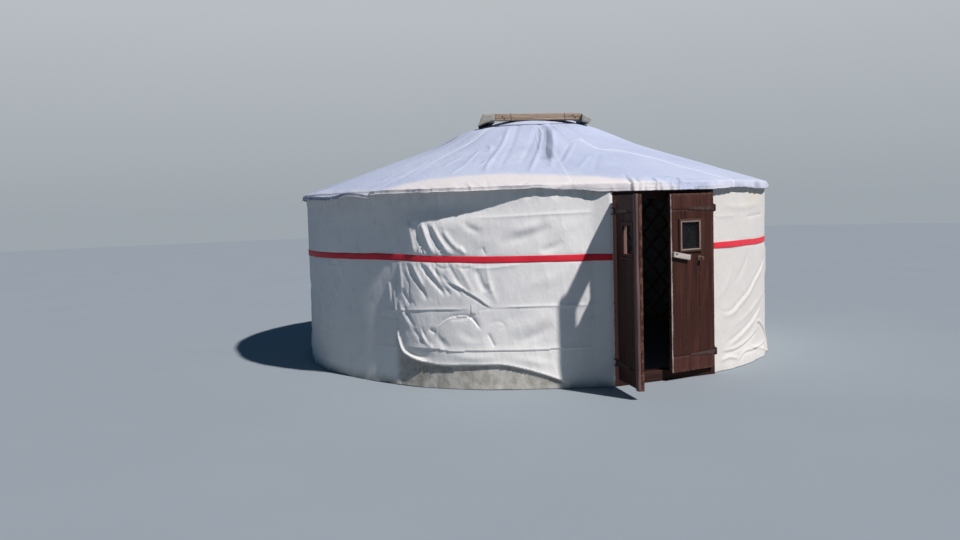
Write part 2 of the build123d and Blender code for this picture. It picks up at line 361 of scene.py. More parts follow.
def beam_arrays(pts, c0, c1, to_world, r=0.004, spacing=0.02, dc=0.03, wear=0.0006, seed=1, checks=0, bow=0.0, ends=None):
    """A worn timber: a rounded section run from c0 to c1. to_world maps (a, b, c) arrays to points."""
    sec, nor, run = round_section(pts, r, spacing=spacing)
    n = len(sec)
    length = c1 - c0
    rb = min(float(np.max(r)), 0.006)
    cs = np.concatenate([[c0, c0 + 0.35 * rb, c0 + rb], np.linspace(c0 + rb, c1 - rb, max(3, int(length / dc)))[1:-1],
                         [c1 - rb, c1 - 0.35 * rb, c1]])
    inset = np.zeros(len(cs))
    inset[[0, -1]] = 0.75 * rb
    inset[[1, -2]] = 0.25 * rb
    A = sec[None, :, 0] - nor[None, :, 0] * inset[:, None]
    B = sec[None, :, 1] - nor[None, :, 1] * inset[:, None]
    C = np.repeat(cs[:, None], n, 1)
    d = wear * fbm(C * 3 + seed, run[None] * 30 + 0 * C, seed, 4) * 1.5
    d = d + 0.8 * wear * fbm(C * 30, run[None] * 60 + 0 * C, seed + 5, 2)
    rng = np.random.RandomState(seed)
    total = run[-1] + 1e-9
    for k in range(checks):
        w0 = rng.uniform(0, total)
        a0 = rng.uniform(c0, c1)
        la = rng.uniform(0.1, 0.45) * length
        wob = 0.004 * vnoise(C[:, :1] * 9, 0 * C[:, :1], seed + k)
        off = np.abs((run[None] - w0 - wob + total / 2) % total - total / 2)
        d = d - 0.0035 * np.exp(-(off / 0.0035) ** 2) * np.clip(1 - np.abs(C - a0) / la, 0, 1) ** 0.5
    A = A + nor[None, :, 0] * d
    B = B + nor[None, :, 1] * d
    if bow:
        A = A + bow * np.sin(math.pi * (C - c0) / length) * 0.5
        B = B + bow * np.sin(math.pi * (C - c0) / length + 1.0)
    if ends is not None:            # uneven saw cuts: an offset of c over the section
        amt = ends(sec[:, 0], sec[:, 1])
        C = C + amt[0][None] * np.clip(1 - (C - c0) / 0.04, 0, 1) + amt[1][None] * np.clip(1 - (c1 - C) / 0.04, 0, 1)
    X, Y, Z = to_world(A, B, C)
    verts = np.stack([X, Y, Z], -1).reshape(-1, 3)
    uv = np.stack([C, np.repeat(run[None], len(cs), 0)], -1).reshape(-1, 2)
    m = len(cs)
    rows = np.arange(m - 1)[:, None]
    cols = np.arange(n)[None]
    a = rows * n + cols
    b = rows * n + (cols + 1) % n
    quads = np.stack([a, b, b + n, a + n], -1).reshape(-1, 4)
    ca = len(verts)
    centre0 = verts[:n].mean(0)
    centre1 = verts[-n:].mean(0)
    mid0 = 0.5 * (verts[:n] + centre0)
    mid1 = 0.5 * (verts[-n:] + centre1)
    verts = np.vstack([verts, mid0, centre0[None], mid1, centre1[None]])
    uv = np.vstack([uv, sec * 3.1, [sec.mean(0) * 3.1], sec * 3.1 + 5, [sec.mean(0) * 3.1 + 5]])
    k = np.arange(n)
    k2 = (k + 1) % n
    quads = np.vstack([quads, np.stack([k2, k, ca + k, ca + k2], -1),
                       np.stack([(m - 1) * n + k, (m - 1) * n + k2, ca + n + 1 + k2, ca + n + 1 + k], -1)])
    tris = np.vstack([np.stack([ca + k2, ca + k, np.full(n, ca + n)], -1),
                      np.stack([ca + n + 1 + k, ca + n + 1 + k2, np.full(n, ca + 2 * n + 1)], -1)])
    return verts, quads, tris, uv


def beam(name, pts, c0, c1, to_world, mats, **kw):
    v, q, t, uv = beam_arrays(pts, c0, c1, to_world, **kw)
    ob = make_mesh(name, v, q, t, uv, mats)
    turn_out(ob)
    flat_edges(ob, 50)
    return ob


def rect_pts(x0, x1, y0, y1):
    return [(x0, y0), (x1, y0), (x1, y1), (x0, y1)]


# ------------------------------------------------------------------ materials
class Nodes:
    def __init__(self, name):
        self.mat = bpy.data.materials.new(name)
        self.mat.use_nodes = True
        self.t = self.mat.node_tree
        self.bsdf = self.t.nodes["Principled BSDF"]

    def new(self, kind, **props):
        n = self.t.nodes.new(kind)
        for k, v in props.items():
            setattr(n, k, v)
        return n

    def link(self, a, b):
        self.t.links.new(a, b)

    def coords(self, kind="Object", scale=(1, 1, 1), rot=(0, 0, 0)):
        tc = self.new("ShaderNodeTexCoord")
        mp = self.new("ShaderNodeMapping")
        mp.inputs["Scale"].default_value = scale
        mp.inputs["Rotation"].default_value = rot
        self.link(tc.outputs[kind], mp.inputs["Vector"])
        return mp.outputs["Vector"]

    def noise(self, vec, scale, detail=4, rough=0.5, distort=0.0):
        n = self.new("ShaderNodeTexNoise")
        n.inputs["Scale"].default_value = scale
        n.inputs["Detail"].default_value = detail
        n.inputs["Roughness"].default_value = rough
        n.inputs["Distortion"].default_value = distort
        self.link(vec, n.inputs["Vector"])
        return n.outputs["Fac"]

    def wave(self, vec, scale, axis="X", distort=0.0):
        n = self.new("ShaderNodeTexWave", bands_direction=axis)
        n.inputs["Scale"].default_value = scale
        n.inputs["Distortion"].default_value = distort
        self.link(vec, n.inputs["Vector"])
        return n.outputs["Fac"]

    def attr(self, name):
        n = self.new("ShaderNodeAttribute")
        n.attribute_name = name
        return n.outputs["Fac"]

    def math(self, op, a, b=0.0, clamp=False):
        n = self.new("ShaderNodeMath", operation=op)
        n.use_clamp = clamp
        for k, x in enumerate((a, b)):
            if isinstance(x, (int, float)):
                n.inputs[k].default_value = x
            else:
                self.link(x, n.inputs[k])
        return n.outputs[0]

    def ramp(self, fac, stops):
        n = self.new("ShaderNodeValToRGB")
        el = n.color_ramp.elements
        while len(el) > 1:
            el.remove(el[0])
        for k, (p, c) in enumerate(stops):
            e = el[0] if k == 0 else el.new(p)
            e.position = p
            e.color = (*c, 1) if len(c) == 3 else c
        self.link(fac, n.inputs["Fac"])
        return n.outputs["Color"]

    def band(self, fac, a, b):
        n = self.new("ShaderNodeMapRange", interpolation_type="SMOOTHSTEP")
        n.inputs["From Min"].default_value = a
        n.inputs["From Max"].default_value = b
        self.link(fac, n.inputs["Value"])
        return n.outputs["Result"]

    def mix(self, fac, a, b, how="MIX"):
        n = self.new("ShaderNodeMix", data_type="RGBA", blend_type=how)
        for key, x in ((0, fac), (6, a), (7, b)):
            if isinstance(x, (int, float)):
                n.inputs[key].default_value = x
            elif isinstance(x, (tuple, list)):
                n.inputs[key].default_value = (*x, 1)
            else:
                self.link(x, n.inputs[key])
        return n.outputs[2]

    def z(self):
        tc = self.new("ShaderNodeTexCoord")
        s = self.new("ShaderNodeSeparateXYZ")
        self.link(tc.outputs["Object"], s.inputs[0])
        return s.outputs["Z"]

    def bump(self, height, distance, strength=1.0, under=None):
        n = self.new("ShaderNodeBump")
        n.inputs["Strength"].default_value = strength
        n.inputs["Distance"].default_value = distance
        self.link(height, n.inputs["Height"])
        if under is not None:
            self.link(under, n.inputs["Normal"])
        return n.outputs["Normal"]

    def done(self, colour, rough, normal=None, metallic=0.0, spec=0.5):
        if isinstance(colour, tuple):
            self.bsdf.inputs["Base Color"].default_value = (*colour, 1)
        else:
            self.link(colour, self.bsdf.inputs["Base Color"])
        if isinstance(rough, (int, float)):
            self.bsdf.inputs["Roughness"].default_value = rough
        else:
            self.link(rough, self.bsdf.inputs["Roughness"])
        self.bsdf.inputs["Metallic"].default_value = metallic
        self.bsdf.inputs["Specular IOR Level"].default_value = spec
        if normal is not None:
            self.link(normal, self.bsdf.inputs["Normal"])
        return self.mat


def canvas_wall():
    m = Nodes("wall_canvas_cloth")
    obj = m.coords("Object")
    uv = m.coords("UV")
    big = m.noise(obj, 1.3, 5, 0.55)
    mid = m.noise(obj, 7.0, 5, 0.6)
    base = m.ramp(big, [(0.25, (0.680, 0.660, 0.652)), (0.55, (0.735, 0.715, 0.705)), (0.8, (0.775, 0.760, 0.752))])
    base = m.mix(m.band(mid, 0.52, 0.80), base, (0.615, 0.600, 0.580), "MIX")
    # creamier towards the ground, then damp and soil just above it; under the turned-up flap the same dark colour is
    # painted shade as well as soil
    low = m.attr("low")
    base = m.mix(m.math("MULTIPLY", low, 0.55), base, (0.80, 0.775, 0.715))
    speck = m.math("ADD", 0.62, m.math("MULTIPLY", m.band(m.noise(obj, 9.0, 7, 0.65), 0.36, 0.66), 0.38))
    soil_and_flap_shade = m.math("MULTIPLY", m.attr("soil_and_flap_shade"), speck)
    base = m.mix(m.math("MULTIPLY", soil_and_flap_shade, 0.82), base, (0.185, 0.165, 0.125))
    # painted shade: the canvas right of the door is made darker than the rest of the wall
    base = m.mix(m.math("MULTIPLY", m.attr("aged"), 0.9), base, m.mix(mid, (0.585, 0.555, 0.520), (0.520, 0.497, 0.475)))
    stain = m.math("MULTIPLY", m.attr("stain"), m.band(m.noise(obj, 5.0, 6, 0.6), 0.40, 0.62))
    base = m.mix(m.math("MULTIPLY", stain, 0.5), base, (0.60, 0.52, 0.37))
    seam = m.attr("seam")
    base = m.mix(m.math("MULTIPLY", seam, 0.35), base, (0.50, 0.48, 0.43))
    warp = m.wave(uv, 170, "X")
    weft = m.wave(uv, 170, "Y")
    weave = m.math("MULTIPLY", warp, weft)
    slub = m.noise(m.coords("UV", (40, 900, 1)), 1.0, 2)
    base = m.mix(m.math("MULTIPLY", m.band(slub, 0.6, 0.8), 0.10), base, (0.55, 0.53, 0.48))
    creases = m.noise(m.coords("UV", (7, 3.2, 1)), 2.2, 6, 0.62, 0.9)
    n1 = m.bump(creases, 0.010, 0.35)
    n2 = m.bump(m.noise(obj, 34.0, 4, 0.6, 0.4), 0.0022, 0.45, n1)
    n3 = m.bump(weave, 0.0005, 0.30, n2)
    m.bsdf.inputs["Sheen Weight"].default_value = 0.08
    m.bsdf.inputs["Sheen Roughness"].default_value = 0.5
    return m.done(base, 0.86, n3, spec=0.25)


def canvas_roof(name="roof_canvas_cloth"):
    m = Nodes(name)
    obj = m.coords("Object")
    uv = m.coords("UV")
    big = m.noise(obj, 1.1, 5, 0.6)
    base = m.ramp(big, [(0.25, (0.345, 0.380, 0.505)), (0.5, (0.395, 0.430, 0.550)), (0.8, (0.450, 0.485, 0.590))])
    patch = m.band(m.noise(obj, 2.6, 6, 0.6, 0.5), 0.52, 0.72)
    base = m.mix(m.math("MULTIPLY", patch, 0.45), base, (0.475, 0.520, 0.600))
    band = m.attr("band")
    base = m.mix(band, base, m.mix(m.noise(obj, 5, 4), (0.600, 0.545, 0.520), (0.570, 0.545, 0.560)))
    seam = m.attr("seam")
    base = m.mix(m.math("MULTIPLY", seam, 0.9), base, (0.62, 0.62, 0.68))
    dust = m.band(m.noise(obj, 16.0, 6, 0.7), 0.60, 0.78)
    base = m.mix(m.math("MULTIPLY", dust, 0.14), base, (0.28, 0.28, 0.29))
    # painted shade: dark blue-grey in the bunched hem folds, down the fold below the crown and at the crown cover's
    # turned-in edge
    fold_painted_shade = m.attr("fold_painted_shade")
    base = m.mix(m.math("MULTIPLY", fold_painted_shade, 0.45), base, (0.120, 0.135, 0.19))
    warp = m.wave(uv, 170, "X")
    weft = m.wave(uv, 170, "Y")
    weave = m.math("MULTIPLY", warp, weft)
    creases = m.noise(m.coords("UV", (5, 2.0, 1)), 2.6, 6, 0.6, 1.0)
    n1 = m.bump(creases, 0.012, 0.40)
    n2 = m.bump(m.noise(obj, 30.0, 4, 0.6, 0.5), 0.0025, 0.40, n1)
    n3 = m.bump(weave, 0.0005, 0.30, n2)
    m.bsdf.inputs["Sheen Weight"].default_value = 0.08
    return m.done(base, 0.80, n3, spec=0.28)


def webbing():
    m = Nodes("belt_webbing")
    uv = m.coords("UV")
    obj = m.coords("Object")
    rib = m.wave(uv, 105, "X")
    cord = m.wave(uv, 60, "Y")
    base = m.ramp(m.noise(obj, 6, 4), [(0.3, (0.62, 0.008, 0.024)), (0.7, (0.74, 0.015, 0.042))])
    base = m.mix(m.math("MULTIPLY", m.band(rib, 0.2, 0.0), 0.35), base, (0.42, 0.004, 0.012))
    edge = m.attr("edge")
    base = m.mix(m.math("MULTIPLY", edge, 0.4), base, (0.50, 0.006, 0.016))
    h = m.math("ADD", rib, m.math("MULTIPLY", cord, 0.5))
    n = m.bump(h, 0.0006, 0.6)
    m.bsdf.inputs["Sheen Weight"].default_value = 0.12
    return m.done(base, 0.62, n, spec=0.35)


def wood(name, dark, mid, light, coords="UV", scale=(1.6, 26, 26), rough=(0.55, 0.8), bump=0.0009, worn=None,
         worn_amount=0.0, worn_attr=False, streak=0.35, spec=0.35):
    m = Nodes(name)
    vec = m.coords(coords, scale)
    grain = m.noise(vec, 1.0, 8, 0.62, 0.8)
    fine = m.noise(m.coords(coords, tuple(s * k for s, k in zip(scale, (3.0, 7.0, 7.0)))), 1.0, 4, 0.6)
    cloud = m.noise(m.coords("Object"), 2.4, 4)
    base = m.ramp(grain, [(0.30, dark), (0.50, mid), (0.72, light)])
    base = m.mix(m.math("MULTIPLY", m.band(fine, 0.50, 0.72), streak), base, dark)
    base = m.mix(m.math("MULTIPLY", m.band(cloud, 0.45, 0.75), 0.30), base, tuple(0.72 * c for c in mid))
    if worn is not None:
        scratch = m.band(m.noise(m.coords(coords, tuple(s * k for s, k in zip(scale, (4, 1.6, 1.6)))), 1.0, 7, 0.7), 0.62, 0.74)
        base = m.mix(m.math("MULTIPLY", scratch, worn_amount), base, worn)
        if worn_attr:
            e = m.math("MULTIPLY", m.attr("wear"), m.band(m.noise(m.coords("Object"), 38, 5, 0.6), 0.40, 0.60))
            base = m.mix(m.math("MULTIPLY", e, 0.85), base, worn)
    r = m.new("ShaderNodeMapRange")
    r.inputs["To Min"].default_value, r.inputs["To Max"].default_value = rough
    m.link(grain, r.inputs["Value"])
    n1 = m.bump(grain, bump * 2.0, 0.5)
    n2 = m.bump(fine, bump, 0.6, n1)
    return m.done(base, r.outputs["Result"], n2, spec=spec)


def iron():
    m = Nodes("hinge_painted_iron")
    obj = m.coords("Object")
    base = m.ramp(m.noise(obj, 30, 6, 0.65), [(0.35, (0.030, 0.016, 0.013)), (0.55, (0.060, 0.033, 0.027)), (0.72, (0.115, 0.075, 0.062))])
    rust = m.band(m.noise(obj, 70, 6, 0.7), 0.60, 0.70)
    base = m.mix(m.math("MULTIPLY", rust, 0.6), base, (0.20, 0.085, 0.035))
    return m.done(base, 0.62, m.bump(m.noise(obj, 160, 4), 0.0006, 0.7), metallic=0.15, spec=0.45)


def brass():
    m = Nodes("knob_dull_brass")
    obj = m.coords("Object")
    base = m.ramp(m.noise(obj, 55, 6, 0.6), [(0.35, (0.16, 0.085, 0.065)), (0.6, (0.34, 0.22, 0.17)), (0.8, (0.60, 0.50, 0.44))])
    return m.done(base, 0.42, m.bump(m.noise(obj, 120, 4), 0.0004, 0.5), metallic=0.85)


def glass():
    m = Nodes("window_dusty_glass")
    obj = m.coords("Object")
    dust = m.band(m.noise(obj, 75, 6, 0.75), 0.60, 0.74)
    film = m.noise(obj, 9, 5, 0.6)
    base = m.mix(dust, (0.035, 0.038, 0.038), (0.42, 0.41, 0.38))
    a = m.math("ADD", m.math("MULTIPLY", dust, 0.30), m.math("MULTIPLY", film, 0.22), True)
    m.link(a, m.bsdf.inputs["Alpha"])
    return m.done(base, 0.12, m.bump(film, 0.002, 0.15), spec=0.8)


M_WALL = canvas_wall()
M_ROOF = canvas_roof()
M_BELT = webbing()
M_DOOR = wood("door_boards_stained", (0.016, 0.0062, 0.0046), (0.041, 0.0135, 0.0092), (0.070, 0.0235, 0.0160),
              rough=(0.50, 0.75), worn=(0.145, 0.070, 0.050), worn_amount=0.30, worn_attr=True, streak=0.45, spec=0.16)
M_RAIL = wood("door_rail_stained", (0.026, 0.0098, 0.0080), (0.056, 0.0195, 0.0150), (0.090, 0.034, 0.026),
              rough=(0.50, 0.75), worn=(0.16, 0.08, 0.06), worn_amount=0.30, worn_attr=True, spec=0.16)
M_EDGE = wood("door_edge_stained", (0.056, 0.031, 0.028), (0.128, 0.072, 0.066), (0.200, 0.122, 0.110),
              rough=(0.50, 0.75), worn=(0.40, 0.30, 0.27), worn_amount=0.60, spec=0.25)
M_TRIM = wood("window_trim_wood", (0.026, 0.0115, 0.0090), (0.060, 0.027, 0.021), (0.10, 0.050, 0.039),
              rough=(0.5, 0.75), worn=(0.20, 0.14, 0.12), worn_amount=0.35, spec=0.2)
M_BEAD = wood("window_bead_pale", (0.065, 0.038, 0.030), (0.205, 0.155, 0.130), (0.36, 0.30, 0.26),
              rough=(0.6, 0.8), worn=(0.09, 0.045, 0.035), worn_amount=0.6, spec=0.2)
M_REVEAL = wood("window_reveal_wood", (0.13, 0.062, 0.050), (0.25, 0.130, 0.105), (0.34, 0.20, 0.165), coords="Object",
                scale=(14, 14, 3), rough=(0.55, 0.8))
M_FRAME = wood("door_frame_stained", (0.012, 0.0050, 0.0040), (0.030, 0.0115, 0.0085), (0.050, 0.020, 0.0145),
               rough=(0.55, 0.8), worn=(0.10, 0.055, 0.04), worn_amount=0.3, spec=0.16)
M_TIMBER = wood("crown_timber_front", (0.150, 0.105, 0.074), (0.320, 0.232, 0.170), (0.430, 0.340, 0.265),
                rough=(0.7, 0.92), bump=0.0016, worn=(0.42, 0.38, 0.33), worn_amount=0.45, streak=0.40, spec=0.2)
M_TIMBER3 = wood("crown_timber_pale", (0.170, 0.165, 0.145), (0.330, 0.325, 0.290), (0.440, 0.435, 0.395),
                 rough=(0.7, 0.92), bump=0.0018, worn=(0.52, 0.51, 0.47), worn_amount=0.4, streak=0.40, spec=0.2)
M_TIMBER2 = wood("crown_timber_grey", (0.185, 0.174, 0.143), (0.325, 0.308, 0.265), (0.430, 0.415, 0.370),
                 rough=(0.7, 0.92), bump=0.0018, worn=(0.40, 0.39, 0.35), worn_amount=0.4, streak=0.40, spec=0.2)
M_PALE = wood("latch_pale_wood", (0.25, 0.205, 0.180), (0.40, 0.350, 0.320), (0.52, 0.470, 0.440), rough=(0.55, 0.75), spec=0.25)
M_STRIP = wood("door_edge_pale_strip", (0.055, 0.028, 0.022), (0.250, 0.205, 0.185), (0.45, 0.40, 0.37),
               scale=(7, 40, 40), rough=(0.7, 0.9), worn=(0.085, 0.035, 0.028), worn_amount=0.8, spec=0.2)
M_LATTICE = wood("lattice_oiled_wood", (0.34, 0.225, 0.125), (0.53, 0.385, 0.235), (0.64, 0.50, 0.34), rough=(0.5, 0.72))
M_POLE = wood("pole_oiled_wood", (0.26, 0.155, 0.075), (0.46, 0.30, 0.16), (0.58, 0.41, 0.24), rough=(0.5, 0.72))
M_RING = wood("ring_laminated_wood", (0.20, 0.11, 0.055), (0.36, 0.215, 0.11), (0.48, 0.31, 0.17), coords="Object",
              scale=(9, 9, 60), rough=(0.48, 0.7))
M_IRON = iron()
M_BRASS = brass()
M_GLASS = glass()


# ------------------------------------------------------------------ wall canvas
def wall_chart(u, v):
    az, z = on_wall(u, v)
    return az * RAD * R_WALL, z


# Folds read off the picture: outline points in the frame, kind, height and width in metres.
WALL_FOLDS = [
    # drapes that hang from the eave to the belt
    ([(409, 221), (412, 232), (417, 254)], "ridge", 0.012, 0.026),
    ([(416, 222), (420, 236), (427, 253)], "valley", 0.009, 0.020),
    ([(423.4, 222), (429, 238), (435.5, 253.3)], "ridge", 0.013, 0.020),
    ([(428.5, 224), (437, 240), (444, 254)], "valley", 0.009, 0.018),
    ([(434.3, 224), (443, 241), (453.8, 254.5)], "ridge", 0.012, 0.020),
    ([(444.7, 230), (454, 243), (465.3, 253.3)], "ridge", 0.009, 0.022),
    ([(461, 246), (467, 254)], "ridge", 0.006, 0.014),
    ([(482.8, 247), (486.6, 255.5)], "cut", 0.007, 0.010),
    # below the belt
    ([(400, 262), (402.5, 276), (404, 292)], "ridge", 0.008, 0.020),
    ([(407.9, 262), (414.8, 274.4), (422.9, 286), (430, 300)], "valley", 0.010, 0.020),
    ([(414, 263), (421, 276), (427, 288)], "ridge", 0.008, 0.018),
    ([(421.7, 262), (433.2, 277.9), (441, 287), (448, 296)], "valley", 0.011, 0.019),
    ([(428, 263), (441, 279), (450, 290)], "ridge", 0.008, 0.018),
    ([(435.5, 268), (443, 281), (452.7, 295.1)], "valley", 0.010, 0.018),
    ([(447, 281.3), (460.7, 287), (470, 293), (479, 298.6), (487.9, 305.6), (493, 307.6)], "fold", 0.013, 0.013),
    ([(449, 283.5), (462, 289), (480, 300.5), (489, 307)], "cut", 0.006, 0.009),
    ([(443, 274), (449, 281), (457, 287.5), (464, 296)], "valley", 0.006, 0.016),
    ([(404, 270), (411, 283), (412, 296), (419, 306)], "cut", 0.006, 0.010),
    ([(407, 306), (413, 318), (418, 327)], "valley", 0.007, 0.016),
    ([(411, 322), (420, 333), (426, 343)], "valley", 0.006, 0.018),
    ([(424, 326), (429, 337), (433, 346)], "cut", 0.006, 0.011),
    ([(399, 318), (401, 327), (400, 336)], "ridge", 0.006, 0.014),
    ([(457, 262), (466, 277), (474, 292)], "ridge", 0.005, 0.020),
    ([(449, 262), (459, 280), (470, 291)], "valley", 0.006, 0.018),
    ([(486, 265), (489, 278), (493, 292), (497, 303)], "ridge", 0.0045, 0.020),
    ([(500, 330), (505, 325), (498, 321), (489, 324)], "cut", 0.004, 0.012),
    ([(437, 262), (440, 266), (446, 268.5), (452, 267)], "cut", 0.006, 0.009),
    ([(456, 264), (461, 267.5), (467, 268.5), (474, 266.5)], "cut", 0.006, 0.009),
    ([(421, 252), (424, 247), (427, 254)], "pleat", 0.006, 0.009),
    ([(441, 253), (445, 249), (450, 254)], "pleat", 0.006, 0.009),
    ([(404, 288), (409, 297), (414, 305)], "valley", 0.008, 0.018),
    ([(401, 300), (407, 316), (417, 330)], "ridge", 0.007, 0.022),
    ([(395, 290), (396, 300), (398, 312)], "ridge", 0.006, 0.018),
    ([(389, 282), (391, 296), (392.5, 304)], "ridge", 0.009, 0.020),
    # storage creases
    ([(386, 309.8), (430, 308.9), (470, 308.4)], "sharp", 0.0075, 0.009),
    ([(386, 311.4), (430, 310.6), (470, 310.0)], "cut", 0.0040, 0.008),
    ([(490, 307.9), (520, 306.6), (557, 305.5), (600, 304.5)], "sharp", 0.0075, 0.009),
    ([(476, 311.5), (490, 308.6), (520, 308.2), (557, 307.2)], "cut", 0.0040, 0.008),
    ([(472, 304), (472.5, 313.5)], "fold", 0.006, 0.010),
    ([(405.6, 346.8), (435.5, 348), (455, 350.8), (476.8, 350.2), (514.6, 350.3), (559.3, 349), (600, 348)], "fold", 0.0095, 0.011),
    ([(470, 218.3), (512, 216.4), (541.4, 214.4), (581, 212.5), (606, 211)], "sharp", 0.0050, 0.011),
    ([(468, 266.5), (490, 268), (524.8, 263.5)], "sharp", 0.0050, 0.010),
    # peak and its branches
    ([(440, 326), (447, 320), (453.8, 316.6), (461, 315.6), (467.6, 315.8), (474, 320), (479, 327.3)], "fold", -0.012, 0.012),
    ([(453, 317.5), (461, 316.6), (470, 316.8), (480, 313.0)], "cut", 0.007, 0.009),
    ([(453, 319.5), (462, 318.6), (470, 318.4)], "cut", 0.006, 0.010),
    ([(470, 314), (476, 321), (481.5, 328.8)], "cut", 0.009, 0.011),
    ([(488.5, 333), (492, 340), (495.5, 347)], "cut", 0.009, 0.012),
    ([(432, 328), (435, 330.5), (438.5, 332)], "cut", 0.012, 0.014),
    ([(437.8, 331.8), (444, 341), (451.5, 349)], "valley", 0.010, 0.030),
    ([(424, 333), (430, 342), (436, 347.5)], "ridge", 0.007, 0.018),
    ([(455, 334), (470, 341), (492, 345)], "ridge", 0.006, 0.05),
    ([(460, 330), (474, 338), (484, 336)], "valley", 0.005, 0.04),
    # wide soft valleys
    ([(463, 221), (471, 228), (482, 233)], "valley", 0.010, 0.030),
    ([(470, 238), (484, 243), (500, 238)], "ridge", 0.004, 0.05),
    ([(498, 243.5), (520, 238), (551.6, 225.9)], "valley", 0.011, 0.045),
    ([(503, 232), (530, 228), (556, 219)], "ridge", 0.010, 0.045),
    ([(538.9, 252), (551, 248), (563, 241)], "valley", 0.011, 0.032),
    ([(545, 235), (565, 228), (590, 219)], "ridge", 0.004, 0.05),
    ([(477.7, 269.3), (481, 281), (486.6, 292)], "valley", 0.010, 0.026),
    ([(489, 281), (492, 293)], "ridge", 0.004, 0.022),
    ([(514.6, 343.3), (532, 337), (553, 325.4)], "valley", 0.012, 0.042),
    ([(508, 333), (530, 325), (552, 312)], "ridge", 0.008, 0.055),
    ([(520, 290), (545, 281), (575, 268)], "ridge", 0.008, 0.06),
    ([(500, 322), (512, 317), (520, 310)], "valley", 0.004, 0.04),
    ([(560, 340), (580, 325), (606, 316)], "ridge", 0.004, 0.05),
    ([(566, 300), (585, 285), (600, 262)], "valley", 0.004, 0.05),
    # turned-up flap at the hem
    ([(399, 328), (401, 338), (405, 349), (411, 354), (420, 358), (430, 361)], "ridge", 0.016, 0.013),
    ([(409, 349), (421, 355), (437, 356)], "valley", 0.012, 0.034),
    ([(450, 354), (470, 357), (500, 357)], "ridge", 0.009, 0.035),
    ([(510, 358), (530, 361), (556, 365)], "ridge", 0.007, 0.035),
    # right of the door
    ([(720, 203), (738, 207), (760, 203)], "ridge", 0.005, 0.030),
    ([(745.9, 216.8), (753, 215.6), (761.4, 213.7)], "cut", 0.007, 0.010),
    ([(713, 217), (722, 216.4), (735, 215.4)], "sharp", 0.004, 0.010),
    ([(713, 213), (716, 220)], "cut", 0.006, 0.010),
    ([(763.5, 258.6), (757, 275), (748.7, 292), (740, 303), (731.9, 311.9), (722, 314.7)], "pleat", 0.0075, 0.026),
    ([(760, 306), (752, 321), (740.3, 334.3), (726.3, 345.6)], "pleat", 0.0075, 0.026),
    ([(764, 285), (756, 303), (744, 318), (730, 327)], "ridge", 0.006, 0.028),
    ([(735, 262), (727, 285), (719, 300)], "ridge", 0.006, 0.030),
    ([(750, 246), (742, 270), (733, 285)], "valley", 0.006, 0.030),
    ([(752, 335), (757, 322), (763, 330), (768, 343)], "pleat", 0.008, 0.018),
    ([(722, 352), (735, 349), (748, 340), (756, 330)], "pleat", 0.008, 0.018),
    ([(736, 362), (744, 352), (752, 349), (764, 340)], "pleat", 0.008, 0.015),
    ([(720, 361), (728, 357), (737, 358)], "ridge", 0.010, 0.014),
    ([(748, 346), (760, 348), (769, 352)], "ridge", 0.009, 0.014),
]


def canvas_field(S, Z, hidden):
    """Outward displacement of the wall canvas at arc length S and height Z, both flat arrays, in metres."""
    az = S / R_WALL / RAD
    # soft hang of the whole cloth
    H = 0.0060 * fbm(S * 1.1, Z * 0.9, 11, 3)
    H = H + 0.0042 * fbm(S * 2.6 + 0.9 * Z, Z * 1.9 - 0.5 * S, 23, 3)
    # long drapes that lean a little
    lean = S + 0.28 * (Z - 1.1) + 0.05 * vnoise(S * 2, Z * 2, 5)
    H = H + 0.0050 * (ridged(lean * 3.1, Z * 0.7, 41, 2) - 0.4) * (0.35 + 0.65 * step01(vnoise(S * 0.7, Z * 0.4, 77), -0.2, 0.5))
    lean2 = S - 0.55 * Z + 0.04 * vnoise(S * 3, Z * 3, 6)
    H = H + 0.0036 * (ridged(lean2 * 4.3, Z * 1.3 + 0.4 * S, 61, 2) - 0.4) * step01(vnoise(S * 0.9 + 4, Z * 0.8, 78), -0.1, 0.5)
    # fine crumple
    H = H + 0.0011 * (ridged(S * 11, Z * 9, 91, 2, 2.0) - 0.3) * step01(vnoise(S * 1.4, Z * 1.6, 79), -0.3, 0.6)
    # gathers beside the belt
    dz = Z - belt_mid(az)
    gather = np.exp(-np.abs(dz) / 0.085)
    pucker = ridged(S * 8.5 + 0.8 * dz, 0 * Z + np.sign(dz) * 3.0, 101, 2)
    where = 0.35 + 0.65 * step01(vnoise(S * 1.3, 0 * Z, 103), -0.3, 0.4)
    H = H + 0.0075 * (pucker - 0.35) * gather * where
    # folded for storage: level and upright lines all round
    levels = [0.345, 0.61, 1.055, 1.49]
    for k, z0 in enumerate(levels):
        zz = z0 + 0.018 * fbm(S * 0.8, 0 * S, 200 + k, 3)
        on = step01(vnoise(S * 0.9, 0 * S, 210 + k), -0.35, 0.1) * hidden
        sign = 1 if k % 2 == 0 else -1
        H = H + sign * 0.0045 * np.exp(-np.abs(Z - zz) / 0.011) * on
    for k, a0 in enumerate((-150, -118, -86, 60, 92, 124, 156, 188)):
        s0 = a0 * RAD * R_WALL
        ss = s0 + 0.02 * fbm(0 * Z, Z * 1.1, 230 + k, 3)
        H = H + (0.0042 if k % 2 else -0.0042) * np.exp(-np.abs(S - ss) / 0.011) * hidden
    return H


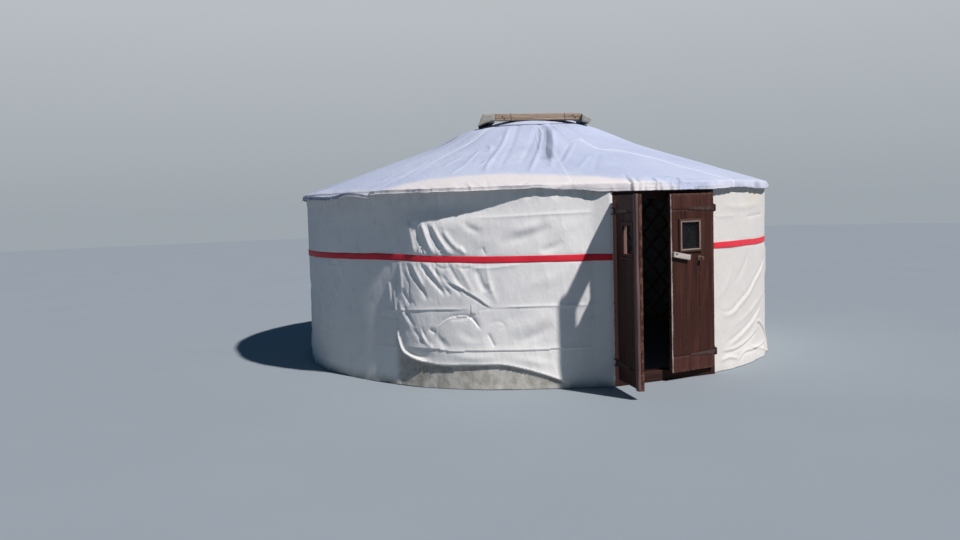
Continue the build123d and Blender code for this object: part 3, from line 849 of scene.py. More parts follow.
def random_folds(a0, a1, count, seed):
    """Folds of the same kinds as the visible ones, for the sides that the picture doesn't show."""
    rng = np.random.RandomState(seed)
    out = []
    for _ in range(count):
        s = rng.uniform(a0, a1) * RAD * R_WALL
        kind = rng.choice(["drape", "swag", "fold", "nick", "hem"])
        if kind == "drape":
            top = rng.choice([1.60, 1.11])
            n = rng.randint(2, 5)
            for j in range(n):
                x = s + j * rng.uniform(0.07, 0.12)
                L = rng.uniform(0.22, 0.42)
                dx = rng.uniform(0.04, 0.16)
                out.append(([(x, top), (x + dx * 0.4, top - L / 2), (x + dx, top - L)],
                            "ridge" if j % 2 == 0 else "valley", rng.uniform(0.006, 0.012), rng.uniform(0.018, 0.026)))
        elif kind == "swag":
            z = rng.uniform(0.35, 1.5)
            L = rng.uniform(0.35, 0.8)
            out.append(([(s, z), (s + L * 0.5, z - rng.uniform(0.02, 0.10)), (s + L, z + rng.uniform(-0.05, 0.15))],
                        rng.choice(["ridge", "valley"]), rng.uniform(0.004, 0.009), rng.uniform(0.03, 0.055)))
        elif kind == "fold":
            z = rng.uniform(0.3, 1.0)
            L = rng.uniform(0.2, 0.45)
            out.append(([(s, z), (s + L * 0.35, z - 0.04), (s + L * 0.7, z - 0.11), (s + L, z - 0.2)],
                        "fold", rng.uniform(0.006, 0.010), rng.uniform(0.013, 0.018)))
        elif kind == "nick":
            z = rng.uniform(0.3, 1.6)
            ang = rng.uniform(-1.4, 1.4)
            L = rng.uniform(0.06, 0.14)
            out.append(([(s, z), (s + L * math.cos(ang), z + L * math.sin(ang))], "cut", rng.uniform(0.005, 0.009), 0.011))
        else:
            L = rng.uniform(0.15, 0.35)
            out.append(([(s, 0.28), (s + L * 0.4, 0.16), (s + L, 0.10)], "pleat", rng.uniform(0.008, 0.012), rng.uniform(0.015, 0.022)))
    return out


HEM_LINE = [wall_chart(*p) for p in ((398.5, 328), (400.5, 339), (404.5, 350), (411, 355.5), (418, 359), (429, 361.5), (445, 364.3),
                                     (463, 364.2), (479, 364.5), (502, 364.6), (520, 368), (537, 372.5), (556, 378.5), (577, 386))]
FOLDS_PX = [([wall_chart(*p) for p in pts], kind, amp, width) for pts, kind, amp, width in WALL_FOLDS]
FOLDS_HID = random_folds(-130, -78, 16, 5) + random_folds(40, 128, 26, 9) + random_folds(132, 226, 28, 14)


def columns(parts):
    """Arc positions from (azimuth0, azimuth1, step in metres) runs."""
    out = []
    for a0, a1, step in parts:
        n = max(2, int(abs(a1 - a0) * RAD * R_WALL / step))
        out.append(np.linspace(a0, a1, n, endpoint=False))
    out.append([parts[-1][1]])
    return np.concatenate(out) * RAD * R_WALL


def hem_line(az):
    """Height of the canvas's lower edge."""
    a = np.where(az > 180, az - 360, az)
    seen = step01(a, -75, -55) * step01(-a, -60, -40)
    return -0.0004 + 0.004 * seen * step01(fbm(az * 0.11, 0 * az, 301, 3), 0.0, 0.9)


def pulled(az, z):
    """The loose bulge that the wall canvas has left of the doorway, shaded behind its crest."""
    shift = np.interp(z, [0, 0.3, 0.65, 0.9, 1.3, 1.7], [-1.3, -2.0, -3.0, -1.6, 0.6, 0.9])
    b = -0.009 + 0.060 * step01(az - shift, -60.0, -48.5)
    b = np.where(az > -47.0, 0.051 * step01(-az, 24.0, 47.0), b)
    b = np.where(az < -66.0, b * step01(az, -82.0, -72.0), b)
    return b * step01(-z, -1.62, -1.40)


def belt_mid(az):
    """The belt isn't level: it dips left of the door and rises on the right."""
    return BELT_Z + np.interp(az, [-100, -62, -54, -46, -37, -12, 12, 16, 50, 80], [0.0, 0.008, 0.003, -0.010, -0.022, -0.027, 0.014, 0.016, 0.012, 0.0])


WRAP_A, WRAP_B = (-0.668, -2.409), (-0.5485, -2.4850)
WRAP_END = -11.90


def wrap(az, z):
    """Extra radius where the canvas is pulled over the face of the left jamb."""
    nx, ny = WRAP_B[1] - WRAP_A[1], -(WRAP_B[0] - WRAP_A[0])
    a = az * RAD
    r_line = (nx * WRAP_A[0] + ny * WRAP_A[1]) / (nx * np.sin(a) - ny * np.cos(a))
    r_face = 2.4850 / np.cos(a)
    r = 0.5 * (r_line + r_face - np.sqrt((r_line - r_face) ** 2 + 0.003 ** 2)) + 0.0015
    e = r - R_WALL
    e = 0.5 * (e + np.sqrt(e * e + 0.007 ** 2)) - 0.0002
    return np.where((az > -19.5) & (az < 0), np.maximum(e, 0.0) * step01(az, -19.5, -16.5), 0.0) * step01(-z, -1.705, -1.672)


def wall_sheet(name, cols, nz, seed, free0, free1, nodes, flat):
    """One length of canvas. free0 and free1 say whether its ends are free edges beside the door."""
    S1 = cols
    az1 = S1 / R_WALL / RAD
    t = np.linspace(0, 1, nz)
    bottom = hem_line(az1)
    Zg = bottom[:, None] + (Z_WALL - bottom[:, None]) * t[None]
    Sg = np.repeat(S1[:, None], nz, 1)
    s, z = Sg.ravel(), Zg.ravel()
    az = s / R_WALL / RAD
    shown = step01(az, -62, -52) * step01(-az, -50, -42)
    hidden = 1 - shown
    H = canvas_field(s, z, hidden)
    folds = FOLDS_PX + FOLDS_HID
    for pts, kind, amp, width in folds:
        add_crease(H, s, z, pts, kind, amp, width, 0.5 if width >= 0.028 else 0.18)
    # belt pinch
    dz = z - belt_mid(az)
    flatten = np.exp(-(dz / 0.036) ** 4)
    crumple = np.exp(-((az + 50.5) / 6.0) ** 2) * step01(z, 0.25, 0.45) * step01(-z, -1.12, -0.95)
    H = H + 0.0028 * (ridged(s * 13 + z * 4, z * 8 - s * 3, 331, 3, 2.0) - 0.3) * crumple
    H = H + pulled(az, z)
    near_belt = np.exp(-((az + 45.0) / 9.0) ** 2) * np.exp(-np.abs(dz + 0.05) / 0.06)
    H = H + 0.006 * (ridged(s * 16, 0 * s, 337, 2, 1.6) - 0.4) * near_belt
    H = H * (1 - flatten) + (-0.0016 + 0.0006 * vnoise(s * 6, 0 * s, 7) + 0.85 * pulled(az, z)) * flatten
    swell = np.exp(-((np.abs(dz) - 0.06) / 0.028) ** 2)
    H = H + 0.0002 * swell
    below = np.zeros_like(H)
    if name.endswith("left"):
        idx, d, side, share = near_line(s, z, smooth_line(HEM_LINE), 0.40)
        on = step01(share, 0.0, 0.05) * step01(-share, -1.0, -0.90) * step01(az[idx], -58.0, -55.5)
        under = (side > 0) if HEM_SIDE > 0 else (side < 0)
        lip = np.where(under, 0.0, 0.007 * np.exp(-d / 0.014))
        drop = np.where(under, -0.022 * (1 - np.exp(-(d / 0.006) ** 2)) * step01(-d, -0.40, -0.22), 0.0)
        H[idx] += on * (lip + drop)
        # painted shade and soil: marks the strip under the flap's lip to be darkened
        below[idx] = on * under * step01(d, 0.0, 0.008) * step01(-d, -0.40, -0.22)
    # top edge is held by the roof's skirt
    H = H * (1 - 0.85 * step01(z, 1.60, 1.70)) + 0.004 * np.sin(az * 2.3) * step01(z, 1.6, 1.7)
    # the foot flares and ruffles on the ground
    foot = np.clip(1 - z / 0.26, 0, 1) ** 1.6
    ruffle = fbm(s * 5.0, z * 1.5, 401, 3)
    flare = 0.010 + 0.020 * step01(az, 15, 24) * (az < 60) + 0.008 * step01(fbm(s * 0.8, 0 * s, 403, 2), -0.1, 0.6)
    H = H + foot * (flare + 0.016 * ruffle)
    # free edges stand off a little
    edge = np.zeros_like(H)
    if free0:
        e0 = np.exp(-np.abs(s - S1[0]) / 0.05)
        edge = edge + e0
    if free1:
        e1 = np.exp(-np.abs(s - S1[-1]) / 0.05)
        edge = edge + e1
    H = H * (1 - 0.5 * edge) + edge * (0.003 + 0.006 * vnoise(z * 7, 0 * z, 411))
    H = np.clip(H, -0.0105, 0.072)
    over = step01(az, -17.0, -15.0) * (az < 0)
    H = H * (1 - 0.92 * over) + over * 0.0015 + wrap(az, z)
    H = H.reshape(Sg.shape)

    # free edges wander, frayed low down
    S_real = Sg.copy()
    zrow = Zg
    wander = np.abs(0.004 * fbm(zrow * 3.0, 0 * zrow, 421, 3) + 0.0045 * fbm(zrow * 26, 0 * zrow, 423, 3) * (zrow < 0.75)) - 0.003
    if free0:
        w = np.exp(-np.abs(Sg - S1[0]) / 0.025)
        S_real = S_real + w * (wander + 0.003) * np.sign(S1[-1] - S1[0])
        if name.endswith("right"):
            fray = np.maximum(0.0, vnoise(zrow * 46, 0 * zrow, 427) + 0.6 * vnoise(zrow * 110, 0 * zrow, 428)) + 0.25
            low_part = step01(zrow, 0.32, 0.42) * step01(-zrow, -0.86, -0.70)
            S_real = S_real - 0.011 * fray * low_part * np.exp(-np.abs(Sg - S1[0]) / 0.016)
    if free1:
        w = np.exp(-np.abs(Sg - S1[-1]) / 0.04)
        S_real = S_real - w * (wander + 0.003) * np.sign(S1[-1] - S1[0])
    R = R_WALL + H

    def to_xyz(Sv, Rv, Zv):
        a = Sv / R_WALL
        return np.stack([Rv * np.sin(a), -Rv * np.cos(a), Zv], -1)

    rows_S, rows_R, rows_Z = [S_real], [R], [Zg]
    # turned-in hem: three more rows inside
    inn_S, inn_R, inn_Z = [], [], []
    for dr, up in ((0.0030, 0.0015), (0.0055, 0.012), (0.0060, 0.034)):
        inn_S.append(S_real[:, :1])
        inn_R.append(np.maximum(R[:, :1] - dr, 2.4872))
        inn_Z.append(Zg[:, :1] + up)
    Sx = np.concatenate(inn_S[::-1] + rows_S, 1)
    Rx = np.concatenate(inn_R[::-1] + rows_R, 1)
    Zx = np.concatenate(inn_Z[::-1] + rows_Z, 1)
    # turned-in free edges
    direction = np.sign(S1[-1] - S1[0])

    def tuck(k):
        base_s, base_r, base_z = Sx[k:k + 1] if k >= 0 else Sx[-1:], Rx[k:k + 1] if k >= 0 else Rx[-1:], Zx[k:k + 1] if k >= 0 else Zx[-1:]
        sgn = direction if k >= 0 else -direction
        out = []
        for dr, ds in ((0.0030, -0.0010), (0.0055, 0.010), (0.0060, 0.035)):
            out.append((base_s + sgn * ds, np.maximum(base_r - dr, 2.4872), base_z))
        return out
    if free0:
        tk = tuck(0)[::-1]
        Sx = np.concatenate([a[0] for a in tk] + [Sx], 0)
        Rx = np.concatenate([a[1] for a in tk] + [Rx], 0)
        Zx = np.concatenate([a[2] for a in tk] + [Zx], 0)
    if free1:
        tk = tuck(-1)
        Sx = np.concatenate([Sx] + [a[0] for a in tk], 0)
        Rx = np.concatenate([Rx] + [a[1] for a in tk], 0)
        Zx = np.concatenate([Zx] + [a[2] for a in tk], 0)
    nu, nv = Sx.shape
    P = to_xyz(Sx, Rx, Zx).reshape(-1, 3)
    f = grid_faces(nu, nv)
    if direction < 0:
        f = f[:, ::-1]
    sx, zx = Sx.ravel(), Zx.ravel()
    azx = sx / R_WALL / RAD
    low = step01(-zx, -0.62, -0.05) * 0.9
    # soil at the foot of the canvas; the flap strip joined in below is painted shade as well as soil
    soil_and_flap_shade = np.clip(1 - zx / 0.10, 0, 1) ** 1.3
    if name.endswith("left"):
        flap = np.zeros(Sx.shape)
        k0 = 3 if free0 else 0
        flap[k0:k0 + len(S1), 3:] = below.reshape(Sg.shape)
        soil_and_flap_shade = np.maximum(soil_and_flap_shade, flap.ravel())
    stain = step01(zx, 1.45, 1.62) * np.exp(-((azx - 29) / 8.0) ** 2) + 0.25 * step01(zx, 1.3, 1.7) * (np.abs(azx) > 80)
    # painted shade mask for the canvas right of the door, fading out beyond about 60 degrees
    aged = step01(azx, 8, 13) * step01(-azx, -75, -50)
    seam = np.zeros_like(sx)
    for a0 in (-46.5, -104.0, 71.0, 137.0, 180.5, 221.0):
        d = np.abs(sx - a0 * RAD * R_WALL)
        seam += np.exp(-(d / 0.006) ** 2)
    hemrow = np.abs(zx - (np.interp(azx, az1 if az1[0] < az1[-1] else az1[::-1], bottom if az1[0] < az1[-1] else bottom[::-1]) + 0.032))
    seam += 0.6 * np.exp(-(hemrow / 0.004) ** 2)
    ob = make_mesh(name, P, f, uv=np.column_stack([sx, zx]), mats=[M_WALL],
                   attrs={"low": low, "aged": aged, "soil_and_flap_shade": soil_and_flap_shade, "stain": np.clip(stain, 0, 1), "seam": np.clip(seam, 0, 1)})
    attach(ob, "tent")
    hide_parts(*nodes)
    area = flat[0] * flat[1]
    return ob


_c = HEM_LINE[len(HEM_LINE) // 2]
_i, _d, _side, _share = near_line(np.array([_c[0]]), np.array([_c[1] - 0.05]), smooth_line(HEM_LINE), 0.2)
HEM_SIDE = float(_side[0])
left = columns([(WRAP_END, -60.0, 0.0066), (-60.0, -130.4, 0.0205)])
right = columns([(DOOR_HALF, 46.0, 0.0078), (46.0, 130.4, 0.0215)])
back = columns([(129.6, 230.4, 0.0205)])
wall_left = wall_sheet("wall_canvas_left", left, 200, 1, True, False,
                       ["wall_canvas_left_front", "wall_canvas_left_side", "wall_canvas_hem"], (1.76, 5.22))
wall_right = wall_sheet("wall_canvas_right", right, 170, 2, True, False,
                        ["wall_canvas_right_front", "wall_canvas_right_side"], (1.76, 5.16))
wall_back = wall_sheet("wall_canvas_rear", back, 104, 3, False, False,
                       ["wall_canvas_left_back", "wall_canvas_right_back"], (1.76, 4.40))


# ------------------------------------------------------------------ belt
def belt():
    a0, a1 = DOOR_HALF + 0.35, 360 + WRAP_END - 0.12
    n = 900
    az = np.linspace(a0, a1, n)
    azn = np.where(az > 180, az - 360, az)
    off = 0.85 * pulled(azn, 0 * az + BELT_Z) + wrap(azn, 0 * az + BELT_Z)
    off = off + 0.0030 * step01(azn, -17, -15) * (azn < 0)
    s = az * RAD * R_WALL
    mid = belt_mid(azn) + 0.0025 * fbm(s * 0.9, 0 * s, 501, 3) + 0.0012 * vnoise(s * 6, 0 * s, 503)
    prof = [(-0.5, -0.0006), (-0.5, 0.0010), (-0.46, 0.0022), (-0.25, 0.0026), (0.0, 0.0026), (0.25, 0.0026), (0.46, 0.0022), (0.5, 0.0010), (0.5, -0.0006), (0.0, -0.0006)]
    P, UV, E = [], [], []
    twist = 0.0010 * vnoise(s * 3.1, 0 * s, 507)
    for w, h in prof:
        r = R_WALL + 0.0004 + off + h + twist * w * 2 + 0.0006 * vnoise(s * 9, 0 * s + w * 3, 509)
        z = mid + w * BELT_W * (1 + 0.03 * vnoise(s * 5, 0 * s, 511))
        P.append(np.stack([r * np.sin(az * RAD), -r * np.cos(az * RAD), z], -1))
        UV.append(np.column_stack([s, np.full(n, w * BELT_W)]))
        E.append(np.full(n, 1.0 if abs(w) > 0.44 else 0.0))
    P = np.stack(P, 1)
    k = len(prof)
    verts = P.reshape(-1, 3)
    uv = np.stack(UV, 1).reshape(-1, 2)
    e = np.stack(E, 1).ravel()
    rows = np.arange(n - 1)[:, None]
    c = np.arange(k)[None]
    a = rows * k + c
    b = rows * k + (c + 1) % k
    q = np.stack([a, b, b + k, a + k], -1).reshape(-1, 4)
    caps = []
    for base in (0, (n - 1) * k):
        caps += [[base + 1, base + 7, base + 8, base], [base + 2, base + 6, base + 7, base + 1], [base + 3, base + 5, base + 6, base + 2]]
    tri = [[0 + 3, 4, 5], [(n - 1) * k + 3, (n - 1) * k + 4, (n - 1) * k + 5]]
    tri += [[0, 8, 9], [(n - 1) * k, (n - 1) * k + 8, (n - 1) * k + 9]]
    ob = make_mesh("belt_webbing", verts, np.vstack([q, caps]), tri, uv, [M_BELT], attrs={"edge": e})
    turn_out(ob)
    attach(ob, "tent")
    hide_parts("belt_strap")
    return ob


belt()


# ------------------------------------------------------------------ roof canvas
def develop(az, q):
    """Flat pattern of the cone: distances on it are true."""
    slant = EAVE_R / math.cos(BETA) - q
    th = np.asarray(az) * RAD * math.cos(BETA)
    return slant * np.sin(th), -slant * np.cos(th)


def roof_chart(u, v):
    az, q = on_roof(u, v)
    x, y = develop(az, q)
    return float(x), float(y)


ROOF_FOLDS = [
    ([(510, 131), (506, 139), (497.9, 151.7), (487.6, 165.4), (485.3, 174)], "ridge", 0.011, 0.026),
    ([(520, 126), (514, 140), (506, 156), (500, 170)], "valley", 0.006, 0.030),
    ([(548, 122), (545.5, 130), (541, 144), (538, 154), (528.9, 174)], "ridge", 0.013, 0.024),
    ([(541, 122), (536, 134), (528, 150), (520, 166)], "valley", 0.006, 0.030),
    ([(545.5, 129), (546.5, 138), (545.5, 147), (546.5, 153), (549, 159)], "cut", 0.036, 0.024),
    ([(551.5, 132), (553, 143), (552.5, 156), (551, 168)], "ridge", 0.014, 0.026),
    ([(541, 131), (541, 142), (540, 152)], "ridge", 0.010, 0.020),
    ([(569, 144.8), (564, 153), (558.7, 162)], "cut", 0.008, 0.014),
    ([(574, 143), (569, 153), (563, 164)], "ridge", 0.006, 0.020),
    ([(567, 142), (580, 139.5), (592, 143)], "ridge", 0.004, 0.018),
    ([(480, 150), (473, 157), (465, 165)], "ridge", 0.007, 0.022),
    ([(467.6, 163.8), (458, 170), (449.3, 175.3)], "ridge", 0.006, 0.018),
    ([(463, 156.9), (453, 162), (443.5, 167.2)], "ridge", 0.006, 0.018),
    ([(488.7, 145), (491, 149), (487, 152)], "ridge", 0.008, 0.020),
    ([(486.4, 160), (483, 164), (478, 166)], "ridge", 0.007, 0.018),
    ([(440, 158), (425, 167), (408, 178)], "ridge", 0.004, 0.028),
    ([(420, 163), (400, 173), (380, 184)], "valley", 0.004, 0.028),
    ([(589.7, 155), (584, 162), (578.3, 169)], "ridge", 0.006, 0.020),
    ([(600, 152), (596, 162), (594, 172)], "valley", 0.004, 0.024),
    ([(488.7, 167.7), (503, 164), (517.4, 160.8), (531, 157.5), (545, 154)], "sharp", 0.0040, 0.012),
    ([(560, 130), (585, 139), (606, 147)], "valley", 0.004, 0.030),
    # puckers over the door
    ([(624, 174), (630, 181), (640, 191)], "cut", 0.022, 0.013),
    ([(629, 178), (636, 184), (646, 191)], "ridge", 0.020, 0.013),
    ([(634, 177), (641, 183), (650, 190)], "cut", 0.018, 0.012),
    ([(660, 181), (667, 186), (673, 193)], "cut", 0.020, 0.013),
    ([(653, 178), (661, 184), (667, 191)], "ridge", 0.018, 0.014),
    ([(684, 192), (691, 187), (702, 183)], "cut", 0.018, 0.015),
    ([(640, 176), (652, 178), (664, 180)], "ridge", 0.011, 0.017),
    ([(612, 183), (618, 187), (622, 192)], "ridge", 0.012, 0.012),
    ([(668, 179), (676, 185), (684, 192)], "cut", 0.016, 0.013),
    ([(676, 178), (684, 184), (692, 190)], "ridge", 0.014, 0.013),
    ([(644, 180), (650, 186), (655, 192)], "cut", 0.014, 0.011),
    ([(700, 181), (708, 186), (715, 190)], "ridge", 0.012, 0.014),
    ([(706, 180), (714, 185), (722, 189)], "cut", 0.012, 0.012),
    ([(560, 188), (566, 184), (574, 182)], "cut", 0.008, 0.012),
    ([(520, 187), (524, 183), (530, 181)], "cut", 0.007, 0.012),
    ([(466, 182), (470, 186), (472, 191)], "ridge", 0.006, 0.012),
    ([(486, 181), (488, 187)], "cut", 0.006, 0.011),
    ([(373, 191), (377, 195), (381, 198)], "ridge", 0.008, 0.014),
]
ROOF_FOLDS_FLAT = [([roof_chart(*p) for p in pts], k, a, w) for pts, k, a, w in ROOF_FOLDS]
ROOF_SEAM = [(580.6, 140.2), (592, 145.9), (600, 149), (623, 151.3), (649.4, 157), (664.3, 161.1), (680.4, 166.3),
             (698.7, 170.3), (714.8, 175.4), (732, 180), (748, 186.3)]
ROOF_SEAM_FLAT = [roof_chart(*p) for p in ROOF_SEAM]
EAVE_EDGE = [(305.7, 199.4), (337.9, 200), (355.1, 195.9), (364, 197), (373.5, 198.8), (375.8, 194.8), (387.3, 193), (410.2, 190.8),
             (434.3, 189), (450, 190.5), (466.9, 191.3), (480, 188.5), (503.6, 187.3), (540.4, 187.8), (574.8, 190), (600, 191.8),
             (616, 193), (640, 191.3), (655, 192.5), (672, 191), (690, 190.5), (712, 189.5), (730, 187.5), (745, 187), (755, 190), (766, 190)]
BAND_TOP = [(380, 189), (430, 178), (460, 175.8), (505.9, 173.5), (557.6, 174.6), (597.8, 175.8), (620.7, 178), (660, 182), (700, 186)]


def _edge_table():
    pts = [on_wall(u, v, 2.531) for u, v in EAVE_EDGE]
    a = np.array([p[0] for p in pts])
    z = np.array([p[1] for p in pts])
    keep = np.concatenate([[True], np.diff(a) > 0.05])
    return a[keep], np.clip(z[keep], 1.672, 1.716)


def tented(az):
    """How far the canvas is lifted round the crown, by azimuth."""
    p = (np.asarray(az, float) + 25.0 + 180.0) % 360.0 - 180.0
    return np.interp(p, [-180, -120, -90, -45, -25, 0, 40, 75, 105, 140, 180],
                     [0.014, 0.012, 0.013, 0.015, 0.024, 0.030, 0.032, 0.030, 0.026, 0.018, 0.014])


def cornered(az, r):
    """How the canvas stands up under the corners of the crown timbers."""
    az = np.asarray(az, float)
    out = 0.0
    for c, w, up in ((-74.0, 30.0, 0.036), (20.0, 20.0, 0.030), (108.0, 26.0, 0.020), (-162.0, 26.0, 0.016)):
        d = (az - c + 180.0) % 360.0 - 180.0
        out = out + up * np.exp(-(d / w) ** 2) * np.exp(-((r - 0.78) / 0.19) ** 2)
    return out


def eave_out(az):
    """How far the hanging hem stands off, over the door and where it billows on the left."""
    door = 0.016 * step01(az, -18.5, -13.5) * step01(-az, -20, -14)
    billow = 0.078 * step01(-az, 26, 42) * step01(az, -92, -74)
    rest = 0.008 * (1 - step01(az, -92, -74) * step01(-az, -34, -24))
    return door + billow + rest


EDGE_AZ, EDGE_Z = _edge_table()
_band = [on_roof(u, v) for u, v in BAND_TOP]
BAND_AZ = np.array([b[0] for b in _band])
BAND_Q = np.array([b[1] for b in _band])


def roof_half(name, a0, a1, cols, rows, nodes):
    if a0 < 0:
        az = np.concatenate([np.linspace(-90, -74, 22, endpoint=False), np.linspace(-74, -8, 268, endpoint=False),
                             np.linspace(-8, 42, 232, endpoint=False), np.linspace(42, 90, 58)])
        cols = len(az)
    else:
        az = np.linspace(a0, a1, cols)
    AZ1 = az
    inside = step01(az, EDGE_AZ[0] - 4, EDGE_AZ[0] + 2) * step01(-az, -EDGE_AZ[-1] - 4, -EDGE_AZ[-1] + 2)
    noise_edge = 1.697 + 0.010 * fbm(az * 0.35, 0 * az, 601, 4)
    zedge = inside * np.interp(az, EDGE_AZ, EDGE_Z) + (1 - inside) * noise_edge
    zedge = zedge + 0.0035 * fbm(az * 0.75, 0 * az, 605, 3)
    zedge = np.maximum(zedge, 1.672)
    # rows: inner hem, skirt, rounded eave, cone
    if a0 < 0:
        q = np.concatenate([np.linspace(0.035, 0.33, 36, endpoint=False), np.linspace(0.33, 2.181, rows - 36)])
    else:
        q = np.linspace(0.035, 2.181, rows)
    prof_n_skirt, prof_n_arc = 7, 5
    lift = eave_out(np.where(az > 180, az - 360, az))
    R, Zz, NR, NZ, Q = [], [], [], [], []
    for dr, up in ((0.0065, 0.030), (0.0060, 0.010), (0.0035, 0.001)):
        R.append(2.5285 - dr + lift); Zz.append(zedge + up); NR.append(np.full(cols, 1.0)); NZ.append(np.zeros(cols)); Q.append(np.full(cols, -0.08 - 0.0 * up))
    for k in range(prof_n_skirt):
        t = k / prof_n_skirt
        R.append(2.5285 + lift * (1 - t) ** 1.2); Zz.append(zedge + (1.733 - zedge) * t); NR.append(np.full(cols, 1.0)); NZ.append(np.zeros(cols)); Q.append(-0.075 + 0.055 * t + 0 * zedge)
    rc, zc, rad = 2.5085, 1.7330, 0.020
    end = math.pi / 2 - BETA
    for k in range(prof_n_arc):
        t = (k + 0.0) / prof_n_arc * end
        R.append(np.full(cols, rc + rad * math.cos(t))); Zz.append(np.full(cols, zc + rad * math.sin(t)))
        NR.append(np.full(cols, math.cos(t))); NZ.append(np.full(cols, math.sin(t))); Q.append(np.full(cols, -0.02 + 0.04 * k / prof_n_arc))
    for k in range(rows):
        r = EAVE_R - q[k] * math.cos(BETA)
        R.append(np.full(cols, r)); Zz.append(np.full(cols, EAVE_Z + (EAVE_R - r) * SLOPE + 0.0008))
        NR.append(np.full(cols, math.sin(BETA))); NZ.append(np.full(cols, math.cos(BETA))); Q.append(np.full(cols, q[k]))
    R, Zz, NR, NZ, Q = [np.stack(a, 1) for a in (R, Zz, NR, NZ, Q)]
    A = np.repeat(AZ1[:, None], R.shape[1], 1)
    X, Y = develop(A.ravel(), Q.ravel())
    a, qq = A.ravel(), Q.ravel()
    arc = a * RAD * np.maximum(EAVE_R - np.clip(qq, 0, 3) * math.cos(BETA), 0.4)
    up = np.clip(qq / 2.166, 0, 1)
    on_cone = step01(qq, 0.0, 0.12)
    # canvas dips between the 36 poles
    phase = np.cos((a - 5.0) * 18.0 * RAD) ** 2
    sag = (0.0065 * np.sin(math.pi * np.clip(up, 0, 1)) ** 0.8) * (0.6 + 0.4 * vnoise(a * 0.2, up * 2, 611))
    H = 0.002 - sag * (1 - phase) * on_cone
    H = H + 0.0045 * fbm(X * 1.4, Y * 1.4, 613, 4) * on_cone
    # pulled folds that run down the slope, mostly from the crown
    slide = a * 0.30 + 0.9 * vnoise(a * 0.05, up * 2.0, 617)
    H = H + 0.0068 * (ridged(slide, up * 0.9, 619, 3, 1.8) - 0.38) * (0.25 + 0.75 * up) * step01(vnoise(a * 0.06, up * 1.3, 623), -0.45, 0.35)
    slide2 = a * 0.16 + up * 2.6
    H = H + 0.0045 * (ridged(slide2, up * 1.7, 629, 2, 2.0) - 0.3) * on_cone * step01(vnoise(a * 0.05 + 3, up * 2, 631), 0.0, 0.5)
    H = H + 0.0012 * (ridged(X * 9, Y * 9, 637, 2) - 0.3) * on_cone
    # gathered along the eave
    gather = np.exp(-np.clip(qq, 0, 3) / 0.085)
    strong = 0.35 + 0.65 * step01(vnoise(a * 0.12, 0 * a, 641), -0.2, 0.5) + 0.9 * np.exp(-((a - 4.0) / 9.0) ** 2)
    pucker = ridged(arc * 9.0 + 2.2 * qq, qq * 2.0, 643, 2, 1.5) - 0.4
    H = H + 0.0085 * pucker * gather * strong
    lump = fbm(arc * 4.2, qq * 3, 647, 3)
    H = H + 0.0060 * lump * gather
    bunch = np.exp(-((a - 5.0) / 12.0) ** 2) * np.exp(-((qq - 0.04) / 0.15) ** 2)
    H = H + 0.016 * (ridged(arc * 5.0 + 3.5 * qq, qq * 3.0 - arc, 655, 2, 1.3) - 0.45) * bunch
    top = step01(qq, 1.86, 2.0)
    H = H * (1 - 0.75 * top)
    Rn = EAVE_R - qq * math.cos(BETA)
    LIFT = 0.0085 * step01(qq, 1.30, 1.75) * (1 - 0.45 * step01(-Rn, -0.675, -0.63)) + tented(a) * step01(-Rn, -1.30, -0.64) + cornered(a, Rn)
    skirt = step01(-qq, 0.0, 0.06)
    H = H + skirt * (0.004 + 0.010 * fbm(arc * 7.0, qq * 6, 649, 3) + 0.003)
    if a0 < 0:
        for pts, kind, amp, width in ROOF_FOLDS_FLAT:
            add_crease(H, X, Y, pts, kind, amp, width)
    else:
        rng = np.random.RandomState(71)
        for _ in range(34):
            aa = rng.uniform(a0 + 4, a1 - 4)
            q0 = rng.uniform(0.3, 1.7)
            L = rng.uniform(0.2, 0.6)
            pts = [develop(aa + rng.uniform(-1, 1) * k, q0 + L * k / 3) for k in range(4)]
            pts = [(float(p[0]), float(p[1])) for p in pts]
            add_crease(H, X, Y, pts, rng.choice(["ridge", "valley", "ridge", "cut"]), rng.uniform(0.004, 0.010), rng.uniform(0.014, 0.028))
    seam = np.zeros_like(H)
    seams = [ROOF_SEAM_FLAT] if a0 < 0 else []
    for a_s in (-62.0, -20.0, 128.0, 176.0, 232.0, 88.0):
        if a0 - 1 < a_s < a1 + 1:
            seams.append([tuple(float(c) for c in develop(a_s + 0.5 * math.sin(t * 2), t)) for t in np.linspace(0.02, 2.1, 9)])
    for k, line in enumerate(seams):
        faint = 1.0 if (k == 0 and a0 < 0) else 0.35
        idx, d, side, share = near_line(X, Y, smooth_line(line), 0.05)
        if len(idx):
            H[idx] += 0.0042 * np.exp(-(d / 0.012) ** 2) * (1 if faint == 1.0 else 0.6)
            seam[idx] = np.maximum(seam[idx], 0.75 * faint * np.exp(-(d / 0.017) ** 2))
    H = np.clip(H, -0.034, 0.030) + LIFT
    H = H.reshape(R.shape)
    Rr = R + NR * H
    Zr = Zz + NZ * H
    Rr[:, 0] = np.minimum(Rr[:, 0], Rr[:, 3] - 0.004)
    Rr[:, 1] = np.minimum(Rr[:, 1], Rr[:, 3] - 0.004)
    Rr = np.where(np.arange(R.shape[1])[None] < 3, np.maximum(Rr, 2.514), Rr)
    P = np.stack([Rr * np.sin(A * RAD), -Rr * np.cos(A * RAD), Zr], -1).reshape(-1, 3)
    qtop = np.interp(a, BAND_AZ, BAND_Q, left=float(BAND_Q[0]), right=float(BAND_Q[-1]))
    reach = step01(a, -74, -50) * step01(-a, -24, 2)
    qtop = qtop * reach + 0.05 * (1 - reach)
    band = step01(-(qq + 0.06 * fbm(arc * 2.0, qq * 4, 653, 3)), -qtop - 0.06, -qtop + 0.08) * (0.25 + 0.75 * reach)
